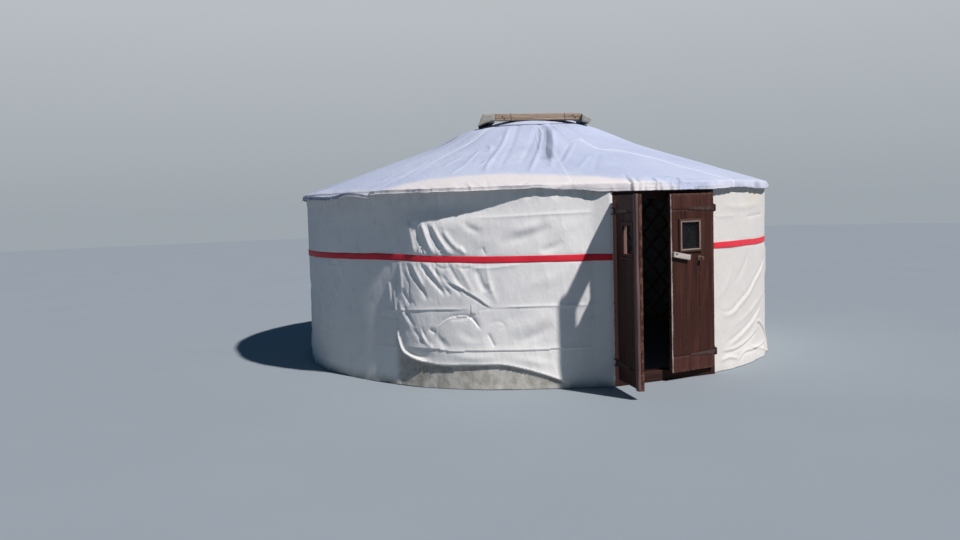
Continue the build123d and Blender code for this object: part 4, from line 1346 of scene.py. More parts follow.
    # painted shade: patches on the bunched hem, and a strip down the deep fold below the crown
    fold_painted_shade = step01(-qq, -0.02, 0.05) * step01(vnoise(arc * 5, 0 * arc, 659), 0.0, 0.8)
    for pts in ([(546, 131), (547, 145), (548.5, 158)],):
        idx, d, side, share = near_line(X, Y, [roof_chart(*p) for p in pts], 0.12)
        if len(idx):
            fold_painted_shade[idx] = np.maximum(fold_painted_shade[idx], 1.25 * np.exp(-(d / (0.030 + 0.034 * share)) ** 2))
    f = grid_faces(R.shape[0], R.shape[1])
    ob = make_mesh(name, P, f, uv=np.column_stack([arc, qq]), mats=[M_ROOF],
                   attrs={"band": np.clip(band, 0, 1), "seam": np.clip(seam, 0, 1), "fold_painted_shade": np.clip(fold_painted_shade, 0, 1.25)})
    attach(ob, "tent")
    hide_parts(*nodes)
    return ob


roof_half("roof_canvas_front_half", -90.0, 90.0, 580, 146, ["roof_canvas_front", "roof_canvas_right"])
roof_half("roof_canvas_rear_half", 90.0, 270.0, 300, 104, ["roof_canvas_back", "roof_canvas_left"])


# ------------------------------------------------------------------ crown cover
def crown_cover():
    prof = [(0, 2.5410), (0.120, 2.5355), (0.250, 2.5190), (0.400, 2.4915), (0.488, 2.4685), (0.560, 2.4370), (0.624, 2.4010)]
    pr, pz = zip(*prof)
    nr, na = 54, 280
    r = np.linspace(0.004, 0.632, nr)
    z = np.interp(r, pr, pz)
    for _ in range(6):
        z[1:-1] = 0.25 * z[:-2] + 0.5 * z[1:-1] + 0.25 * z[2:]
    slope_end = (prof[-1][1] - prof[-2][1]) / (prof[-1][0] - prof[-2][0])
    z = np.where(r > 0.624, prof[-1][1] + (r - 0.624) * slope_end, z)
    az = np.linspace(0, 360, na, endpoint=False)
    A, Rr = np.meshgrid(az, r, indexing="ij")
    Zr = np.repeat(z[None], na, 0)
    x, y = Rr * np.sin(A * RAD), -Rr * np.cos(A * RAD)
    H = 0.0022 * fbm(x * 5, y * 5, 701, 4) + 0.0035 * (ridged(x * 6 + 3, y * 6, 703, 2) - 0.4) * step01(Rr, 0.2, 0.5)
    H = H * (1 - 0.6 * step01(Rr, 0.50, 0.62))
    H += 0.0035 * (ridged(A * 0.13, Rr * 2, 707, 2) - 0.3) * step01(Rr, 0.42, 0.55) * (1 - 0.6 * step01(Rr, 0.55, 0.63))
    Zr = Zr + H + tented(A) * step01(Rr, 0.34, 0.54) + cornered(A, Rr)
    # pressed down by the four timbers that lie on it
    ft = FRAME_TURN * RAD
    xl, yl = x * math.cos(ft) + y * math.sin(ft), -x * math.sin(ft) + y * math.cos(ft)
    for x0, x1, y0, y1, low in (
            (-0.395, 0.528, -0.552, -0.462, 2.4755 - 0.021 * (xl - 0.0665)),
            (-0.395, 0.528, 0.455, 0.545, 2.489 + 0 * xl),
            (-0.578, -0.395, -0.560, 0.560, np.interp(xl, [-0.578, -0.488, -0.395], [2.427, 2.468, 2.490])),
            (0.528, 0.606, -0.590, 0.590, np.interp(xl, [0.528, 0.603], [2.468, 2.445]) + 0.0384 * yl)):
        far = np.hypot(np.maximum(np.maximum(x0 - xl, xl - x1), 0), np.maximum(np.maximum(y0 - yl, yl - y1), 0))
        Zr = np.minimum(Zr, low - 0.003 + 0.8 * np.maximum(far - 0.004, 0))
    rows = [np.stack([x, y, Zr], -1)]
    # turned-in edge
    edge = rows[0][:, -1]
    for f, dz in ((0.9985, -0.003), (0.990, -0.0035), (0.965, 0.008)):
        e = edge.copy()
        e[:, :2] *= f
        e[:, 2] += dz
        rows.append(e[:, None])
    P = np.concatenate(rows, 1)
    nv = P.shape[1]
    base = len(P.reshape(-1, 3))
    verts = np.vstack([P.reshape(-1, 3), [[0, 0, z[0] + 0.0005]]])
    f = grid_faces(na, nv, True)
    k = np.arange(na)
    tris = np.stack([k * nv, np.full(na, base), ((k + 1) % na) * nv], -1)[:, ::-1]
    uv = np.vstack([P.reshape(-1, 3)[:, :2], [[0, 0]]])
    rad = np.hypot(verts[:, 0], verts[:, 1])
    # painted shade at the cover's turned-in edge
    fold_painted_shade = 0.35 * step01(rad, 0.60, 0.63)
    seam = 0.35 * np.exp(-((rad - 0.603) / 0.006) ** 2)
    ob = make_mesh("crown_cover_cloth", verts, f[:, ::-1], tris[:, ::-1], uv, [M_ROOF],
                   attrs={"band": np.zeros(len(verts)), "seam": seam, "fold_painted_shade": fold_painted_shade})
    me = ob.data
    me.update()
    if me.polygons[len(me.polygons) // 2].normal.z < 0:
        me.flip_normals()
    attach(ob, "tent")
    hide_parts("crown_cover")
    return ob


crown_cover()


# ------------------------------------------------------------------ crown timbers
def turned(a, b, c):
    t = FRAME_TURN * RAD
    return a * math.cos(t) - c * math.sin(t), a * math.sin(t) + c * math.cos(t), b


def turned_dip(a, b, c):
    t = 2.2 * RAD
    y = c * math.cos(t) - (b - 2.480) * math.sin(t)
    z = 2.480 + c * math.sin(t) + (b - 2.480) * math.cos(t)
    return turned(a, z, y)


def turned_cross(a, b, c):       # runs along the frame's x
    return turned(c, b, a)


def turned_front(a, b, c):       # the same, dropping a little to the right
    t = 1.2 * RAD
    return turned(0.0665 + c * math.cos(t) + b * math.sin(t), 2.511 - c * math.sin(t) + b * math.cos(t), a)


left_end = [(-0.578, 2.427), (-0.488, 2.468), (-0.395, 2.490), (-0.395, 2.556), (-0.517, 2.558)]
right_end = [(0.528, 2.468), (0.603, 2.445), (0.636, 2.491), (0.528, 2.550)]
ob = beam("crown_timber_left_worn", left_end, -0.560, 0.560, turned, [M_TIMBER2], r=0.006, dc=0.02, spacing=0.009, wear=0.0016, seed=21, checks=9)
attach(ob, "tent"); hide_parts("crown_timber_left")
ob = beam("crown_timber_right_worn", right_end, -0.590, 0.590, turned_dip, [M_TIMBER3], r=0.006, dc=0.02, spacing=0.009, wear=0.0018, seed=22, checks=9)
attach(ob, "tent"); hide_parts("crown_timber_right")
heap = Heap()
v, q, t, uv = beam_arrays(rect_pts(-0.552, -0.462, -0.0355, 0.0355), -0.459, 0.459, turned_front, r=0.005, dc=0.014,
                          spacing=0.008, wear=0.0018, seed=24, checks=10)
heap.add(v, q, t, uv)
v, q, t, uv = beam_arrays(rect_pts(0.455, 0.545, 2.489, 2.556), -0.3925, 0.5255, turned_cross, r=0.005, dc=0.02,
                          spacing=0.010, wear=0.0016, seed=25, checks=8)
heap.add(v, q, t, uv)


def dome(heap, centre, normal, radius, height, mat=0, n=12):
    """A nail or bolt head."""
    nrm = np.array(normal, float) / np.linalg.norm(normal)
    a = np.cross(nrm, (0.3, 0.2, 0.93)); a /= np.linalg.norm(a)
    b = np.cross(nrm, a)
    k = np.arange(n) * 2 * math.pi / n
    rings = []
    for rr, hh in ((1.0, -0.25), (1.0, 0.25), (0.86, 0.62), (0.5, 0.92)):
        rings.append(np.array(centre) + radius * rr * (np.cos(k)[:, None] * a + np.sin(k)[:, None] * b) + nrm * height * hh)
    v = np.vstack(rings + [[np.array(centre) + nrm * height], [np.array(centre) - nrm * height * 0.25]])
    q = []
    for j in range(3):
        for i in range(n):
            q.append([j * n + i, j * n + (i + 1) % n, (j + 1) * n + (i + 1) % n, (j + 1) * n + i])
    t = [[3 * n + i, 3 * n + (i + 1) % n, 4 * n] for i in range(n)] + [[(i + 1) % n, i, 4 * n + 1] for i in range(n)]
    heap.add(v, q, t, None, mat)


for xx, zz in ((-0.375, 0.004), (-0.355, -0.016), (0.37, 0.012), (0.395, -0.010)):
    p = np.array(turned_front(-0.5525, zz, xx)).ravel()
    t = FRAME_TURN * RAD
    dome(heap, p, (math.sin(t), -math.cos(t), 0), 0.0075, 0.003, 1)
for xx in (-0.285, 0.285):       # wire ties round the front timber
    loop = []
    hy, hz, o = 0.045, 0.0355, 0.0016
    ring_pts = [(-0.507 - hy - o, -hz - o), (-0.507 - hy - o, hz + o), (-0.507 + hy + o, hz + o), (-0.507 + hy + o, -hz - o)]
    dense = []
    for k in range(4):
        a0_, a1_ = np.array(ring_pts[k]), np.array(ring_pts[(k + 1) % 4])
        for f in np.linspace(0, 1, 6, endpoint=False):
            dense.append(a0_ + (a1_ - a0_) * f)
    dense = np.array(dense)
    cen = np.array((-0.507, 0.0))
    nv = 6
    V = []
    for j, (yy, zz) in enumerate(dense):
        out_dir = (np.array((yy, zz)) - cen)
        out_dir = out_dir / np.linalg.norm(out_dir)
        for m_ in range(nv):
            th = m_ * 2 * math.pi / nv
            c2 = np.array((yy, zz)) + out_dir * 0.0016 * math.cos(th)
            x_ = xx + 0.004 * math.sin(j * 0.9) + 0.0016 * math.sin(th)
            V.append(np.array(turned_front(c2[0], c2[1], x_)).ravel())
    nd = len(dense)
    Q = [[j * nv + m_, j * nv + (m_ + 1) % nv, ((j + 1) % nd) * nv + (m_ + 1) % nv, ((j + 1) % nd) * nv + m_] for j in range(nd) for m_ in range(nv)]
    heap.add(V, Q, None, None, 1)
ob = heap.build("crown_timbers_cross_worn", [M_TIMBER, M_IRON], sharp=50)
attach(ob, "tent"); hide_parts("crown_timbers_cross")


# ------------------------------------------------------------------ crown ring, spokes and poles
def ring():
    r0, r1, z0, z1 = 0.420, 0.480, 2.345, 2.417
    sec, nor, run = round_section(rect_pts(r0, r1, z0, z1), 0.005, spacing=0.012)
    n, na = len(sec), 216
    az = np.linspace(0, 360, na, endpoint=False)
    A = np.repeat(az[:, None], n, 1)
    lam = np.abs(((sec[:, 1] - z0) / 0.018) % 1 - 0.5) > 0.44        # glue lines of the laminations
    face = (np.abs(nor[:, 0]) > 0.9)
    d = -0.0009 * (lam & face)[None] + 0.0006 * fbm(A * 0.3, run[None] * 30 + 0 * A, 801, 3)
    R = sec[None, :, 0] + nor[None, :, 0] * d
    Z = sec[None, :, 1] + nor[None, :, 1] * d + 0 * A
    P = np.stack([R * np.sin(A * RAD), -R * np.cos(A * RAD), Z], -1).reshape(-1, 3)
    rows = np.arange(na)[:, None]
    c = np.arange(n)[None]
    a = rows * n + c
    b = rows * n + (c + 1) % n
    a2 = ((rows + 1) % na) * n + c
    b2 = ((rows + 1) % na) * n + (c + 1) % n
    q = np.stack([a, b, b2, a2], -1).reshape(-1, 4)
    ob = make_mesh("crown_ring_laminated", P, q, uv=np.column_stack([(A * RAD * 0.45).ravel(), np.repeat(run[None], na, 0).ravel()]), mats=[M_RING])
    turn_out(ob)
    flat_edges(ob, 50)
    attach(ob, "tent"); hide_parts("crown_ring")


ring()


def pole_z(r):
    return EAVE_Z + (EAVE_R - r) * SLOPE - (0.012 + 0.018) * math.sqrt(1 + SLOPE ** 2) - 0.001


def poles(side, numbers):
    heap = Heap()
    for k in numbers:
        a = (10.0 * (k + 0.5)) * RAD
        p0 = np.array((2.470 * math.sin(a), -2.470 * math.cos(a), pole_z(2.470)))
        p1 = np.array((0.4875 * math.sin(a), -0.4875 * math.cos(a), pole_z(0.4875)))
        L = np.linalg.norm(p1 - p0)
        ax = (p1 - p0) / L
        e1 = np.cross(ax, (0, 0, 1)); e1 /= np.linalg.norm(e1)
        e2 = np.cross(ax, e1)
        n = 14
        th = np.arange(n) * 2 * math.pi / n
        st = np.concatenate([[0, 0.002, 0.006], np.linspace(0.03, L - 0.10, 18), [L - 0.06, L - 0.02, L - 0.004, L]])
        rad = np.full(len(st), 0.0178)
        rad[0], rad[1] = 0.0135, 0.0165
        rad[-4:] = (0.0165, 0.0145, 0.0140, 0.0120)
        rad = rad[:, None] + 0.0007 * fbm(st[:, None] * 2 + k, th[None] * 0.9 + 0 * st[:, None], 811 + k, 3)
        P = p0 + ax * st[:, None, None] + rad[..., None] * (np.cos(th)[None, :, None] * e1 + np.sin(th)[None, :, None] * e2)
        v = P.reshape(-1, 3)
        rows = np.arange(len(st) - 1)[:, None]
        c = np.arange(n)[None]
        q = np.stack([rows * n + c, rows * n + (c + 1) % n, (rows + 1) * n + (c + 1) % n, (rows + 1) * n + c], -1).reshape(-1, 4)
        m = len(v)
        v = np.vstack([v, p0, p1])
        kk = np.arange(n)
        t = np.vstack([np.stack([(kk + 1) % n, kk, np.full(n, m)], -1),
                       np.stack([(len(st) - 1) * n + kk, (len(st) - 1) * n + (kk + 1) % n, np.full(n, m + 1)], -1)])
        uv = np.vstack([np.column_stack([np.repeat(st, n) + 3 * k, np.tile(th * 0.018, len(st))]), [[0, 0], [1, 1]]])
        heap.add(v, q, t, uv)
    ob = heap.build("roof_poles_" + side + "_round", [M_POLE], sharp=60)
    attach(ob, "tent"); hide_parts("roof_poles_" + side)


groups = {"front": [], "right": [], "back": [], "left": []}
for k in range(36):
    az = 10.0 * (k + 0.5)
    groups[("front", "right", "back", "left")[int((az + 45.0) // 90) % 4]].append(k)
for side, ks in groups.items():
    poles(side, ks)

# ------------------------------------------------------------------ lattice
FAC = (360.0 - 2 * DOOR_HALF - 0.2) / 18
FAC_OUT = 2.484 * math.cos(FAC / 2 * RAD)
FAC_IN = FAC_OUT - 0.022
FAC_HALF = FAC_IN * math.tan(FAC / 2 * RAD) - 0.001
LAT_W, LAT_H, SLAT = 2 * FAC_HALF, 1.715, 0.030
cell_w, cell_h = (LAT_W - SLAT) / 3, (LAT_H - SLAT) / 6
lat_tan = cell_h / cell_w


def clip_slat(s, k):
    """End points (x, z) of one slat's middle line inside the facet."""
    z_mid = LAT_H / 2 + k * cell_h
    xs = [-LAT_W / 2 + 0.006, LAT_W / 2 - 0.006]
    m = s * lat_tan
    pts = []
    for x in xs:
        z = z_mid + m * x
        if z < 0.012:
            x, z = (0.012 - z_mid) / m, 0.012
        elif z > LAT_H - 0.012:
            x, z = (LAT_H - 0.012 - z_mid) / m, LAT_H - 0.012
        pts.append((x, z))
    if abs(pts[0][0]) > LAT_W / 2 or abs(pts[1][0]) > LAT_W / 2 or pts[1][0] - pts[0][0] < 0.05:
        return None
    return pts


def lattice(side, i):
    heap = Heap()
    rng = np.random.RandomState(900 + i)
    for j in range(3):
        az = DOOR_HALF + 0.1 + FAC * (3 * i + j + 0.5)
        a = az * RAD
        n = np.array((math.sin(a), -math.cos(a), 0.0))
        t = np.array((math.cos(a), math.sin(a), 0.0))
        for s in (1, -1):
            base = 0.0114 if s > 0 else 0.0002
            for k in range(-9, 10):
                seg = clip_slat(s, k)
                if seg is None:
                    continue
                (x0, z0), (x1, z1) = seg
                L = math.hypot(x1 - x0, z1 - z0)
                e = np.array(((x1 - x0) / L, (z1 - z0) / L))
                f = np.array((-e[1], e[0]))
                wdt = 0.014 + rng.uniform(-0.0008, 0.0004)
                sec = [(-wdt, 0.002), (-wdt + 0.002, 0.0), (wdt - 0.002, 0.0), (wdt, 0.002), (wdt, 0.0082), (wdt - 0.002, 0.0102), (-wdt + 0.002, 0.0102), (-wdt, 0.0082)]
                verts, uv = [], []
                sts = np.linspace(0, L, 5)
                for st in sts:
                    bend = 0.0008 * math.sin(st * 9 + k)
                    for w, d in sec:
                        x = x0 + e[0] * st + f[0] * (w + bend)
                        z = z0 + e[1] * st + f[1] * (w + bend)
                        verts.append(t * x + n * (FAC_IN + base + d) + np.array((0, 0, z)))
                        uv.append((st + k * 0.7 + s, w + d))
                m = len(sec)
                q = []
                for r_ in range(len(sts) - 1):
                    for c in range(m):
                        q.append([r_ * m + c, r_ * m + (c + 1) % m, (r_ + 1) * m + (c + 1) % m, (r_ + 1) * m + c])
                for b0 in (0, (len(sts) - 1) * m):
                    q += [[b0, b0 + 1, b0 + 6, b0 + 7], [b0 + 1, b0 + 2, b0 + 5, b0 + 6], [b0 + 2, b0 + 3, b0 + 4, b0 + 5]]
                heap.add(verts, q, None, uv)
        # rivets where slats cross
        for k1 in range(-9, 10):
            for k2 in range(-9, 10):
                x = (k2 - k1) * cell_h / (2 * lat_tan)
                z = LAT_H / 2 + (k1 + k2) * cell_h / 2
                if abs(x) < LAT_W / 2 - 0.012 and 0.02 < z < LAT_H - 0.02:
                    c = t * x + np.array((0, 0, z))
                    dome(heap, c + n * (FAC_IN + 0.0003), -n, 0.0045, 0.0018, 1, 6)
    ob = heap.build("wall_lattice_" + side + "_slats", [M_LATTICE, M_IRON], smooth=False, sharp=None)
    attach(ob, "tent"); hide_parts("wall_lattice_" + side)


for i, side in enumerate(["right_front", "right_side", "right_back", "left_back", "left_side", "left_front"]):
    lattice(side, i)


# ------------------------------------------------------------------ door frame
def upright(a, b, c):
    return a, b, c


def level(a, b, c):              # section in (y, z), runs along x
    return c, a, b


for side, x0, x1 in (("left", -0.545, -0.475), ("right", 0.475, 0.545)):
    ob = beam("door_jamb_" + side + "_worn", rect_pts(x0, x1, -2.480, -2.390), 0.0, 1.605, upright, [M_FRAME], r=0.004,
              dc=0.03, spacing=0.012, wear=0.0007, seed=31 if side == "left" else 32, checks=2)
    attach(ob, "tent"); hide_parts("door_jamb_" + side)
ob = beam("door_lintel_worn", rect_pts(-2.480, -2.390, 1.605, 1.690), -0.545, 0.545, level, [M_FRAME], r=0.004, dc=0.03, spacing=0.012, wear=0.0007, seed=33, checks=2)
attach(ob, "tent"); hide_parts("door_lintel")
ob = beam("door_sill_worn", rect_pts(-2.480, -2.395, 0.0, 0.095), -0.475, 0.475, level, [M_FRAME], r=0.005, dc=0.03, spacing=0.012, wear=0.0009, seed=34, checks=2)
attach(ob, "tent"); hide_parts("door_sill")


# ------------------------------------------------------------------ door leaves
def swing(P, side):
    """Closed right-hand leaf to its place as seen: the right leaf ajar, the left one mirrored and wide open."""
    P = np.asarray(P, float)
    a = (RIGHT_OPEN if side == "right" else LEFT_OPEN) * RAD
    x, y = P[..., 0] - HINGE[0], P[..., 1] - HINGE[1]
    X = x * math.cos(a) - y * math.sin(a) + HINGE[0]
    Y = x * math.sin(a) + y * math.cos(a) + HINGE[1]
    if side == "left":
        X = -X
    return np.stack([X, Y, P[..., 2]], -1)


BOARDS = (0.0025, 0.172, 0.342, 0.512)
RAIL_TOP, RAIL_LOW = 1.500, 0.213
HOLE = (WIN_X - 0.104, WIN_X + 0.104, WIN_Z - 0.119, WIN_Z + 0.119)


def lines(lo, hi, marks, step):
    """Grid lines from lo to hi, through the marks and close beside them."""
    base = {lo, hi}
    for m in marks:
        for d in (-0.0045, -0.0022, 0.0, 0.0022, 0.0045):
            if lo < m + d < hi:
                base.add(round(m + d, 6))
    for d in (0.0018, 0.005):
        base.add(lo + d)
        base.add(hi - d)
    b = sorted(base)
    out = [b[0]]
    for k in range(1, len(b)):
        gap = b[k] - out[-1]
        if gap < 0.0009:
            continue
        n = max(1, int(math.ceil(gap / step)))
        last = out[-1]
        for j in range(1, n + 1):
            out.append(last + gap * j / n)
    return np.array(out)


def leaf(side):
    xs = lines(LEAF_IN, LEAF_OUT, [BOARDS[1], BOARDS[2], HOLE[0], HOLE[1]], 0.010)
    zs = lines(LEAF_Z0, LEAF_Z1, [RAIL_TOP, RAIL_LOW, HOLE[2], HOLE[3]], 0.018)
    X, Z = np.meshgrid(xs, zs, indexing="ij")
    seed = 41 if side == "left" else 43
    board = np.digitize(X, BOARDS[1:3])
    in_rail_t, in_rail_b = Z > RAIL_TOP, Z < RAIL_LOW
    rail = in_rail_t | in_rail_b
    # depth below the face
    D = np.zeros_like(X)
    for xb in BOARDS[1:3]:
        D = D + 0.0055 * np.exp(-((X - xb) / 0.0026) ** 2) * (~rail)
    for zb in (RAIL_TOP, RAIL_LOW):
        D = D + 0.0042 * np.exp(-((Z - zb) / 0.0026) ** 2)
    D = D + 0.0022 * np.exp(-(np.minimum(X - LEAF_IN, LEAF_OUT - X) / 0.0022)) + 0.0018 * np.exp(-(np.minimum(Z - LEAF_Z0, LEAF_Z1 - Z) / 0.0022))
    warp = np.array([0.0008, 0.0016, 0.0004])[board]
    D = D + np.where(rail, 0.0002, warp)
    grain = np.where(rail, fbm(X * 6, Z * 90, seed, 3), fbm(X * 90 + board * 7, Z * 5, seed + 1, 3))
    D = D + 0.0005 * (1 + grain)
    cup = np.sin((X - np.array(BOARDS[:3])[board]) / 0.17 * math.pi) * 0.0010
    D = D + np.where(rail, 0, 0.0010 - cup)
    # foot of the leaf is chipped by rain
    D = D + 0.0025 * step01(-Z, -0.13, -0.075) * step01(fbm(X * 40, Z * 30, seed + 5, 3), 0.0, 0.6)
    front = np.stack([X, LEAF_FACE + D, Z], -1)
    Db = 0.6 * D + 0.0004
    back = np.stack([X, LEAF_BACK - Db, Z], -1)
    wear = np.exp(-np.minimum(X - LEAF_IN, LEAF_OUT - X) / 0.006) + np.exp(-np.minimum(Z - LEAF_Z0, LEAF_Z1 - Z) / 0.010) * 0.7
    for xb in BOARDS[1:3]:
        wear = wear + 0.35 * np.exp(-(np.abs(np.abs(X - xb) - 0.005) / 0.003)) * (~rail)
    nx, nz = X.shape
    F = np.arange(nx * nz).reshape(nx, nz)
    B = F + nx * nz
    cx = 0.5 * (xs[1:] + xs[:-1])
    cz = 0.5 * (zs[1:] + zs[:-1])
    open_ = ((cx[:, None] > HOLE[0]) & (cx[:, None] < HOLE[1]) & (cz[None] > HOLE[2]) & (cz[None] < HOLE[3]))
    keep = ~open_
    rail_c = (cz > RAIL_TOP) | (cz < RAIL_LOW)
    I, J = np.where(keep)
    qf = np.stack([F[I, J], F[I + 1, J], F[I + 1, J + 1], F[I, J + 1]], -1)
    qb = np.stack([B[I, J], B[I, J + 1], B[I + 1, J + 1], B[I + 1, J]], -1)
    mi = list(np.where(rail_c[J], 1, 0)) * 2
    sides, sm = [], []
    pad = np.pad(keep, 1)
    for di, dj, a, b in ((-1, 0, (0, 0), (0, 1)), (1, 0, (1, 0), (1, 1)), (0, -1, (0, 0), (1, 0)), (0, 1, (0, 1), (1, 1))):
        nb = pad[1 + di:pad.shape[0] - 1 + di, 1 + dj:pad.shape[1] - 1 + dj]
        ii, jj = np.where(keep & ~nb)
        p, q = F[ii + a[0], jj + a[1]], F[ii + b[0], jj + b[1]]
        p2, q2 = B[ii + a[0], jj + a[1]], B[ii + b[0], jj + b[1]]
        sides.append(np.stack([p, q, q2, p2], -1))
        at_hole = (ii + di >= 0) & (ii + di < keep.shape[0]) & (jj + dj >= 0) & (jj + dj < keep.shape[1])
        sm += list(np.where(at_hole, 2, 0))
    verts = np.vstack([front.reshape(-1, 3), back.reshape(-1, 3)])
    off = board * 1.37
    uv1 = np.stack([Z + off * (~rail), X + off * (~rail)], -1).reshape(-1, 2)
    uv = np.vstack([uv1, uv1 + 0.5])
    ob = make_mesh(side + "_leaf_planks", swing(verts, side), np.vstack([qf, qb] + sides), None, uv, [M_DOOR, M_RAIL, M_REVEAL], mi + sm,
                   attrs={"wear": np.clip(np.concatenate([wear.ravel(), wear.ravel()]), 0, 1)})
    turn_out(ob)
    flat_edges(ob, 45)
    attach(ob, side + "_door"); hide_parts(side + "_leaf")
    return ob


def trim(side):
    heap = Heap()
    prof = [(0.0, 0.0), (0.0, 0.0090), (0.0016, 0.0118), (0.006, 0.0130), (0.0135, 0.0128), (0.026, 0.0124), (0.0294, 0.0116), (0.031, 0.0090), (0.031, 0.0)]
    ix, iz = 0.100, 0.115
    for k, (e, n, ie, inn) in enumerate((((1, 0), (0, 1), ix, iz), ((1, 0), (0, -1), ix, iz), ((0, 1), (1, 0), iz, ix), ((0, 1), (-1, 0), iz, ix))):
        ts = np.linspace(-1, 1, 14)
        verts, uv = [], []
        for t in ts:
            for o, h in prof:
                half = ie + o - 0.0004
                wob = 0.0004 * math.sin(37 * t + k * 2.1) + 0.0003 * math.sin(91 * t + o * 200)
                x = e[0] * t * half + n[0] * (inn + o)
                z = e[1] * t * half + n[1] * (inn + o)
                verts.append((WIN_X + x, LEAF_FACE - h - (wob if h > 0.001 else -0.0001), WIN_Z + z))
                uv.append((t * half + k, o + h))
        m = len(prof)
        q = []
        for r_ in range(len(ts) - 1):
            for c in range(m):
                q.append([r_ * m + c, r_ * m + (c + 1) % m, (r_ + 1) * m + (c + 1) % m, (r_ + 1) * m + c])
        t_ = []
        for b0 in (0, (len(ts) - 1) * m):
            for c in range(1, m - 1):
                t_.append([b0, b0 + c, b0 + c + 1])
        q = np.array(q)
        bead = np.isin(np.arange(len(q)) % m, (2, 3))
        heap.add(swing(np.array(verts), side), q, t_, uv)
        if side == "right":      # the inner bead is bare wood
            heap.m[-len(q):] = [int(b) for b in bead]
    if side == "left":          # a narrow sill under the opening
        v, q, t, uv = beam_arrays([(LEAF_FACE - 0.024, WIN_Z - 0.150), (LEAF_FACE - 0.0002, WIN_Z - 0.150), (LEAF_FACE - 0.0002, WIN_Z - 0.1465), (LEAF_FACE - 0.024, WIN_Z - 0.1465)],
                                  WIN_X - 0.135, WIN_X + 0.135, level, r=0.0012, dc=0.03, spacing=0.01, wear=0.0002, seed=51)
        heap.add(swing(v, side), q, t, uv, 1)
    ob = heap.build(side + "_window_frame", [M_TRIM, M_BEAD] if side == "right" else [M_DOOR, M_BEAD], sharp=40)
    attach(ob, side + "_door"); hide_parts(side + "_window_trim")


for side in ("left", "right"):
    leaf(side)
    trim(side)

# thick rounded edge of the left leaf
v, q, t, uv = beam_arrays([(0.0027, -2.5152), (0.0575, -2.5152), (0.0575, -2.542), (0.0027, -2.542)], 0.074, 1.644, upright,
                          r=[0.001, 0.001, 0.016, 0.016], dc=0.02, spacing=0.006, wear=0.0008, seed=55, checks=4)
ob = make_mesh("left_edge_rounded", swing(v, "left"), q, t, uv, [M_EDGE])
turn_out(ob); flat_edges(ob, 50)
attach(ob, "left_door"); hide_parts("left_edge_strip")

# rough pale strip down the free edge of the right leaf
v, q, t, uv = beam_arrays([(0.0034, -2.5145), (0.0170, -2.5145), (0.0170, -2.5190), (0.0034, -2.5190)], 0.078, 1.630, upright,
                          r=0.0012, dc=0.008, spacing=0.003, wear=0.0003, seed=57, checks=0)
wig = 0.6 * vnoise(v[:, 2] * 11, 0 * v[:, 2], 58) + 0.4 * vnoise(v[:, 2] * 48, 0 * v[:, 2], 59)
v[:, 0] = np.where(v[:, 0] > 0.010, v[:, 0] + 0.0060 * wig, v[:, 0] + 0.0008 * (wig + 1))
ob = make_mesh("right_edge_strip", swing(v, "right"), q, t, uv, [M_STRIP])
turn_out(ob)
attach(ob, "right_door")

# latch block with a peg hole
v, q, t, uv = beam_arrays([(-2.543, 1.074), (-2.5152, 1.074), (-2.5152, 1.122), (-2.543, 1.122)], 0.0185, 0.2135, level,
                          r=0.0045, dc=0.008, spacing=0.004, wear=0.0005, seed=61, checks=1)
cx, cz = v[:, 0] - 0.050, v[:, 2] - 1.098
hole = np.exp(-((cx ** 2 + cz ** 2) / 0.0095 ** 2) ** 2) * (v[:, 1] < -2.538)
v[:, 1] += 0.020 * hole
ang = 11.0 * RAD
x, z = v[:, 0] - 0.1155, v[:, 2] - 1.098
v[:, 0], v[:, 2] = 0.1155 + x * math.cos(ang) + z * math.sin(ang), 1.098 - x * math.sin(ang) + z * math.cos(ang)
ob = make_mesh("right_latch_block", swing(v, "right"), q, t, uv, [M_PALE])
turn_out(ob); flat_edges(ob, 50)
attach(ob, "right_door"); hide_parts("right_latch_bar")

# nails in the hinge straps and boards, a bolt beside the knob
for side in ("left", "right"):
    heap = Heap()
    sg = 1 if side == "right" else -1
    a = (RIGHT_OPEN if side == "right" else LEFT_OPEN) * RAD
    nrm = (math.sin(a) * sg, -math.cos(a), 0)
    for z in (0.218, 1.508):
        for x in (0.262, 0.345, 0.425, 0.495):
            p = swing(np.array([[x, -2.5190, z]]), side)[0]
            dome(heap, p, nrm, 0.0065, 0.0030)
    for z in (0.140, 1.565, 1.610):
        for x in (0.060, 0.215, 0.300, 0.385, 0.470):
            p = swing(np.array([[x, -2.5142, z + 0.004 * math.sin(x * 90)]]), side)[0]
            dome(heap, p, nrm, 0.0038, 0.0012)
    if side == "right":
        p = swing(np.array([[0.240, -2.5142, 1.105]]), side)[0]
        dome(heap, p, nrm, 0.009, 0.010)
        for zz in (1.02, 0.96):
            p = swing(np.array([[0.012, -2.5142, zz]]), side)[0]
            dome(heap, p, nrm, 0.003, 0.0012)
    ob = heap.build(side + "_door_nails", [M_IRON], sharp=None)
    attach(ob, side + "_door")

# ------------------------------------------------------------------ CAD nodes that stay, with their finish
KEEP = {
    "crown_spokes": M_RING,
    "left_window_pane": M_GLASS, "right_window_pane": M_GLASS,
    "left_strap_hinges": M_IRON, "right_strap_hinges": M_IRON,
    "left_hinge_brackets": M_IRON, "right_hinge_brackets": M_IRON,
    "right_door_knob": M_BRASS,
}
for node, mat in KEEP.items():
    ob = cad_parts[node]
    if not ob.material_slots:
        ob.data.materials.append(mat)
    for s in ob.material_slots:
        s.material = mat

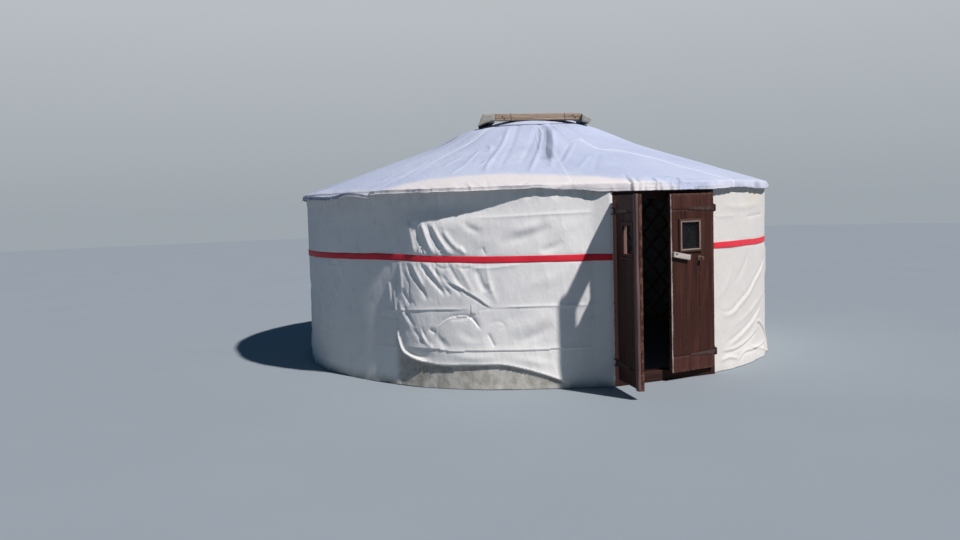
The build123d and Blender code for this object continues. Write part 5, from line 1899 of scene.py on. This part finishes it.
# ------------------------------------------------------------------ floor and light
n = 96
rings = [0.0, 3.0, 6.0, 10.0, 16.0, 26.0, 42.0]
fv = [(0, 0, -0.0005)]
for r in rings[1:]:
    for k in range(n):
        fv.append((r * math.cos(k * 2 * math.pi / n), r * math.sin(k * 2 * math.pi / n), -0.0005))
ft = [[0, 1 + k, 1 + (k + 1) % n] for k in range(n)]
fq = []
for j in range(len(rings) - 2):
    for k in range(n):
        a = 1 + j * n + k
        b = 1 + j * n + (k + 1) % n
        fq.append([a, a + n, b + n, b])
m = Nodes("studio_floor")
fl = m.ramp(m.noise(m.coords("Object"), 0.7, 3), [(0.3, (0.243, 0.272, 0.300)), (0.7, (0.251, 0.280, 0.308))])
M_FLOOR = m.done(fl, 0.9, spec=0.15)
floor = make_mesh("studio_floor", fv, fq, ft, mats=[M_FLOOR])

SUN_AZ, SUN_EL = 23.5 * RAD, 49.5 * RAD
sun_dir = np.array((math.sin(SUN_AZ) * math.cos(SUN_EL), -math.cos(SUN_AZ) * math.cos(SUN_EL), math.sin(SUN_EL)))
sun_data = bpy.data.lights.new("key_light", "SUN")
sun_data.energy = 5.2
sun_data.angle = 1.8 * RAD
sun_data.color = (1.0, 0.970, 0.955)
sun = bpy.data.objects.new("key_light", sun_data)
scene.collection.objects.link(sun)
sun.rotation_mode = "QUATERNION"
sun.rotation_quaternion = Vector(sun_dir).to_track_quat("Z", "Y")

world = bpy.data.worlds.new("studio")
scene.world = world
world.use_nodes = True
wt = world.node_tree
bg = wt.nodes["Background"]
bg.inputs["Color"].default_value = (0.22, 0.56, 1.0, 1)
bg.inputs["Strength"].default_value = 0.15
bg2 = wt.nodes.new("ShaderNodeBackground")
bg2.inputs["Strength"].default_value = 1.0
wc = wt.nodes.new("ShaderNodeTexCoord")
ws = wt.nodes.new("ShaderNodeSeparateXYZ")
wr = wt.nodes.new("ShaderNodeValToRGB")
wt.links.new(wc.outputs["Generated"], ws.inputs[0])
wt.links.new(ws.outputs["Z"], wr.inputs["Fac"])
wr.color_ramp.elements[0].position = 0.0
wr.color_ramp.elements[0].color = (0.345, 0.383, 0.418, 1)
wr.color_ramp.elements[1].position = 0.32
wr.color_ramp.elements[1].color = (0.540, 0.568, 0.600, 1)
wt.links.new(wr.outputs["Color"], bg2.inputs["Color"])
lp = wt.nodes.new("ShaderNodeLightPath")
mx = wt.nodes.new("ShaderNodeMixShader")
wt.links.new(lp.outputs["Is Camera Ray"], mx.inputs[0])
wt.links.new(bg.outputs[0], mx.inputs[1])
wt.links.new(bg2.outputs[0], mx.inputs[2])
wt.links.new(mx.outputs[0], wt.nodes["World Output"].inputs["Surface"])
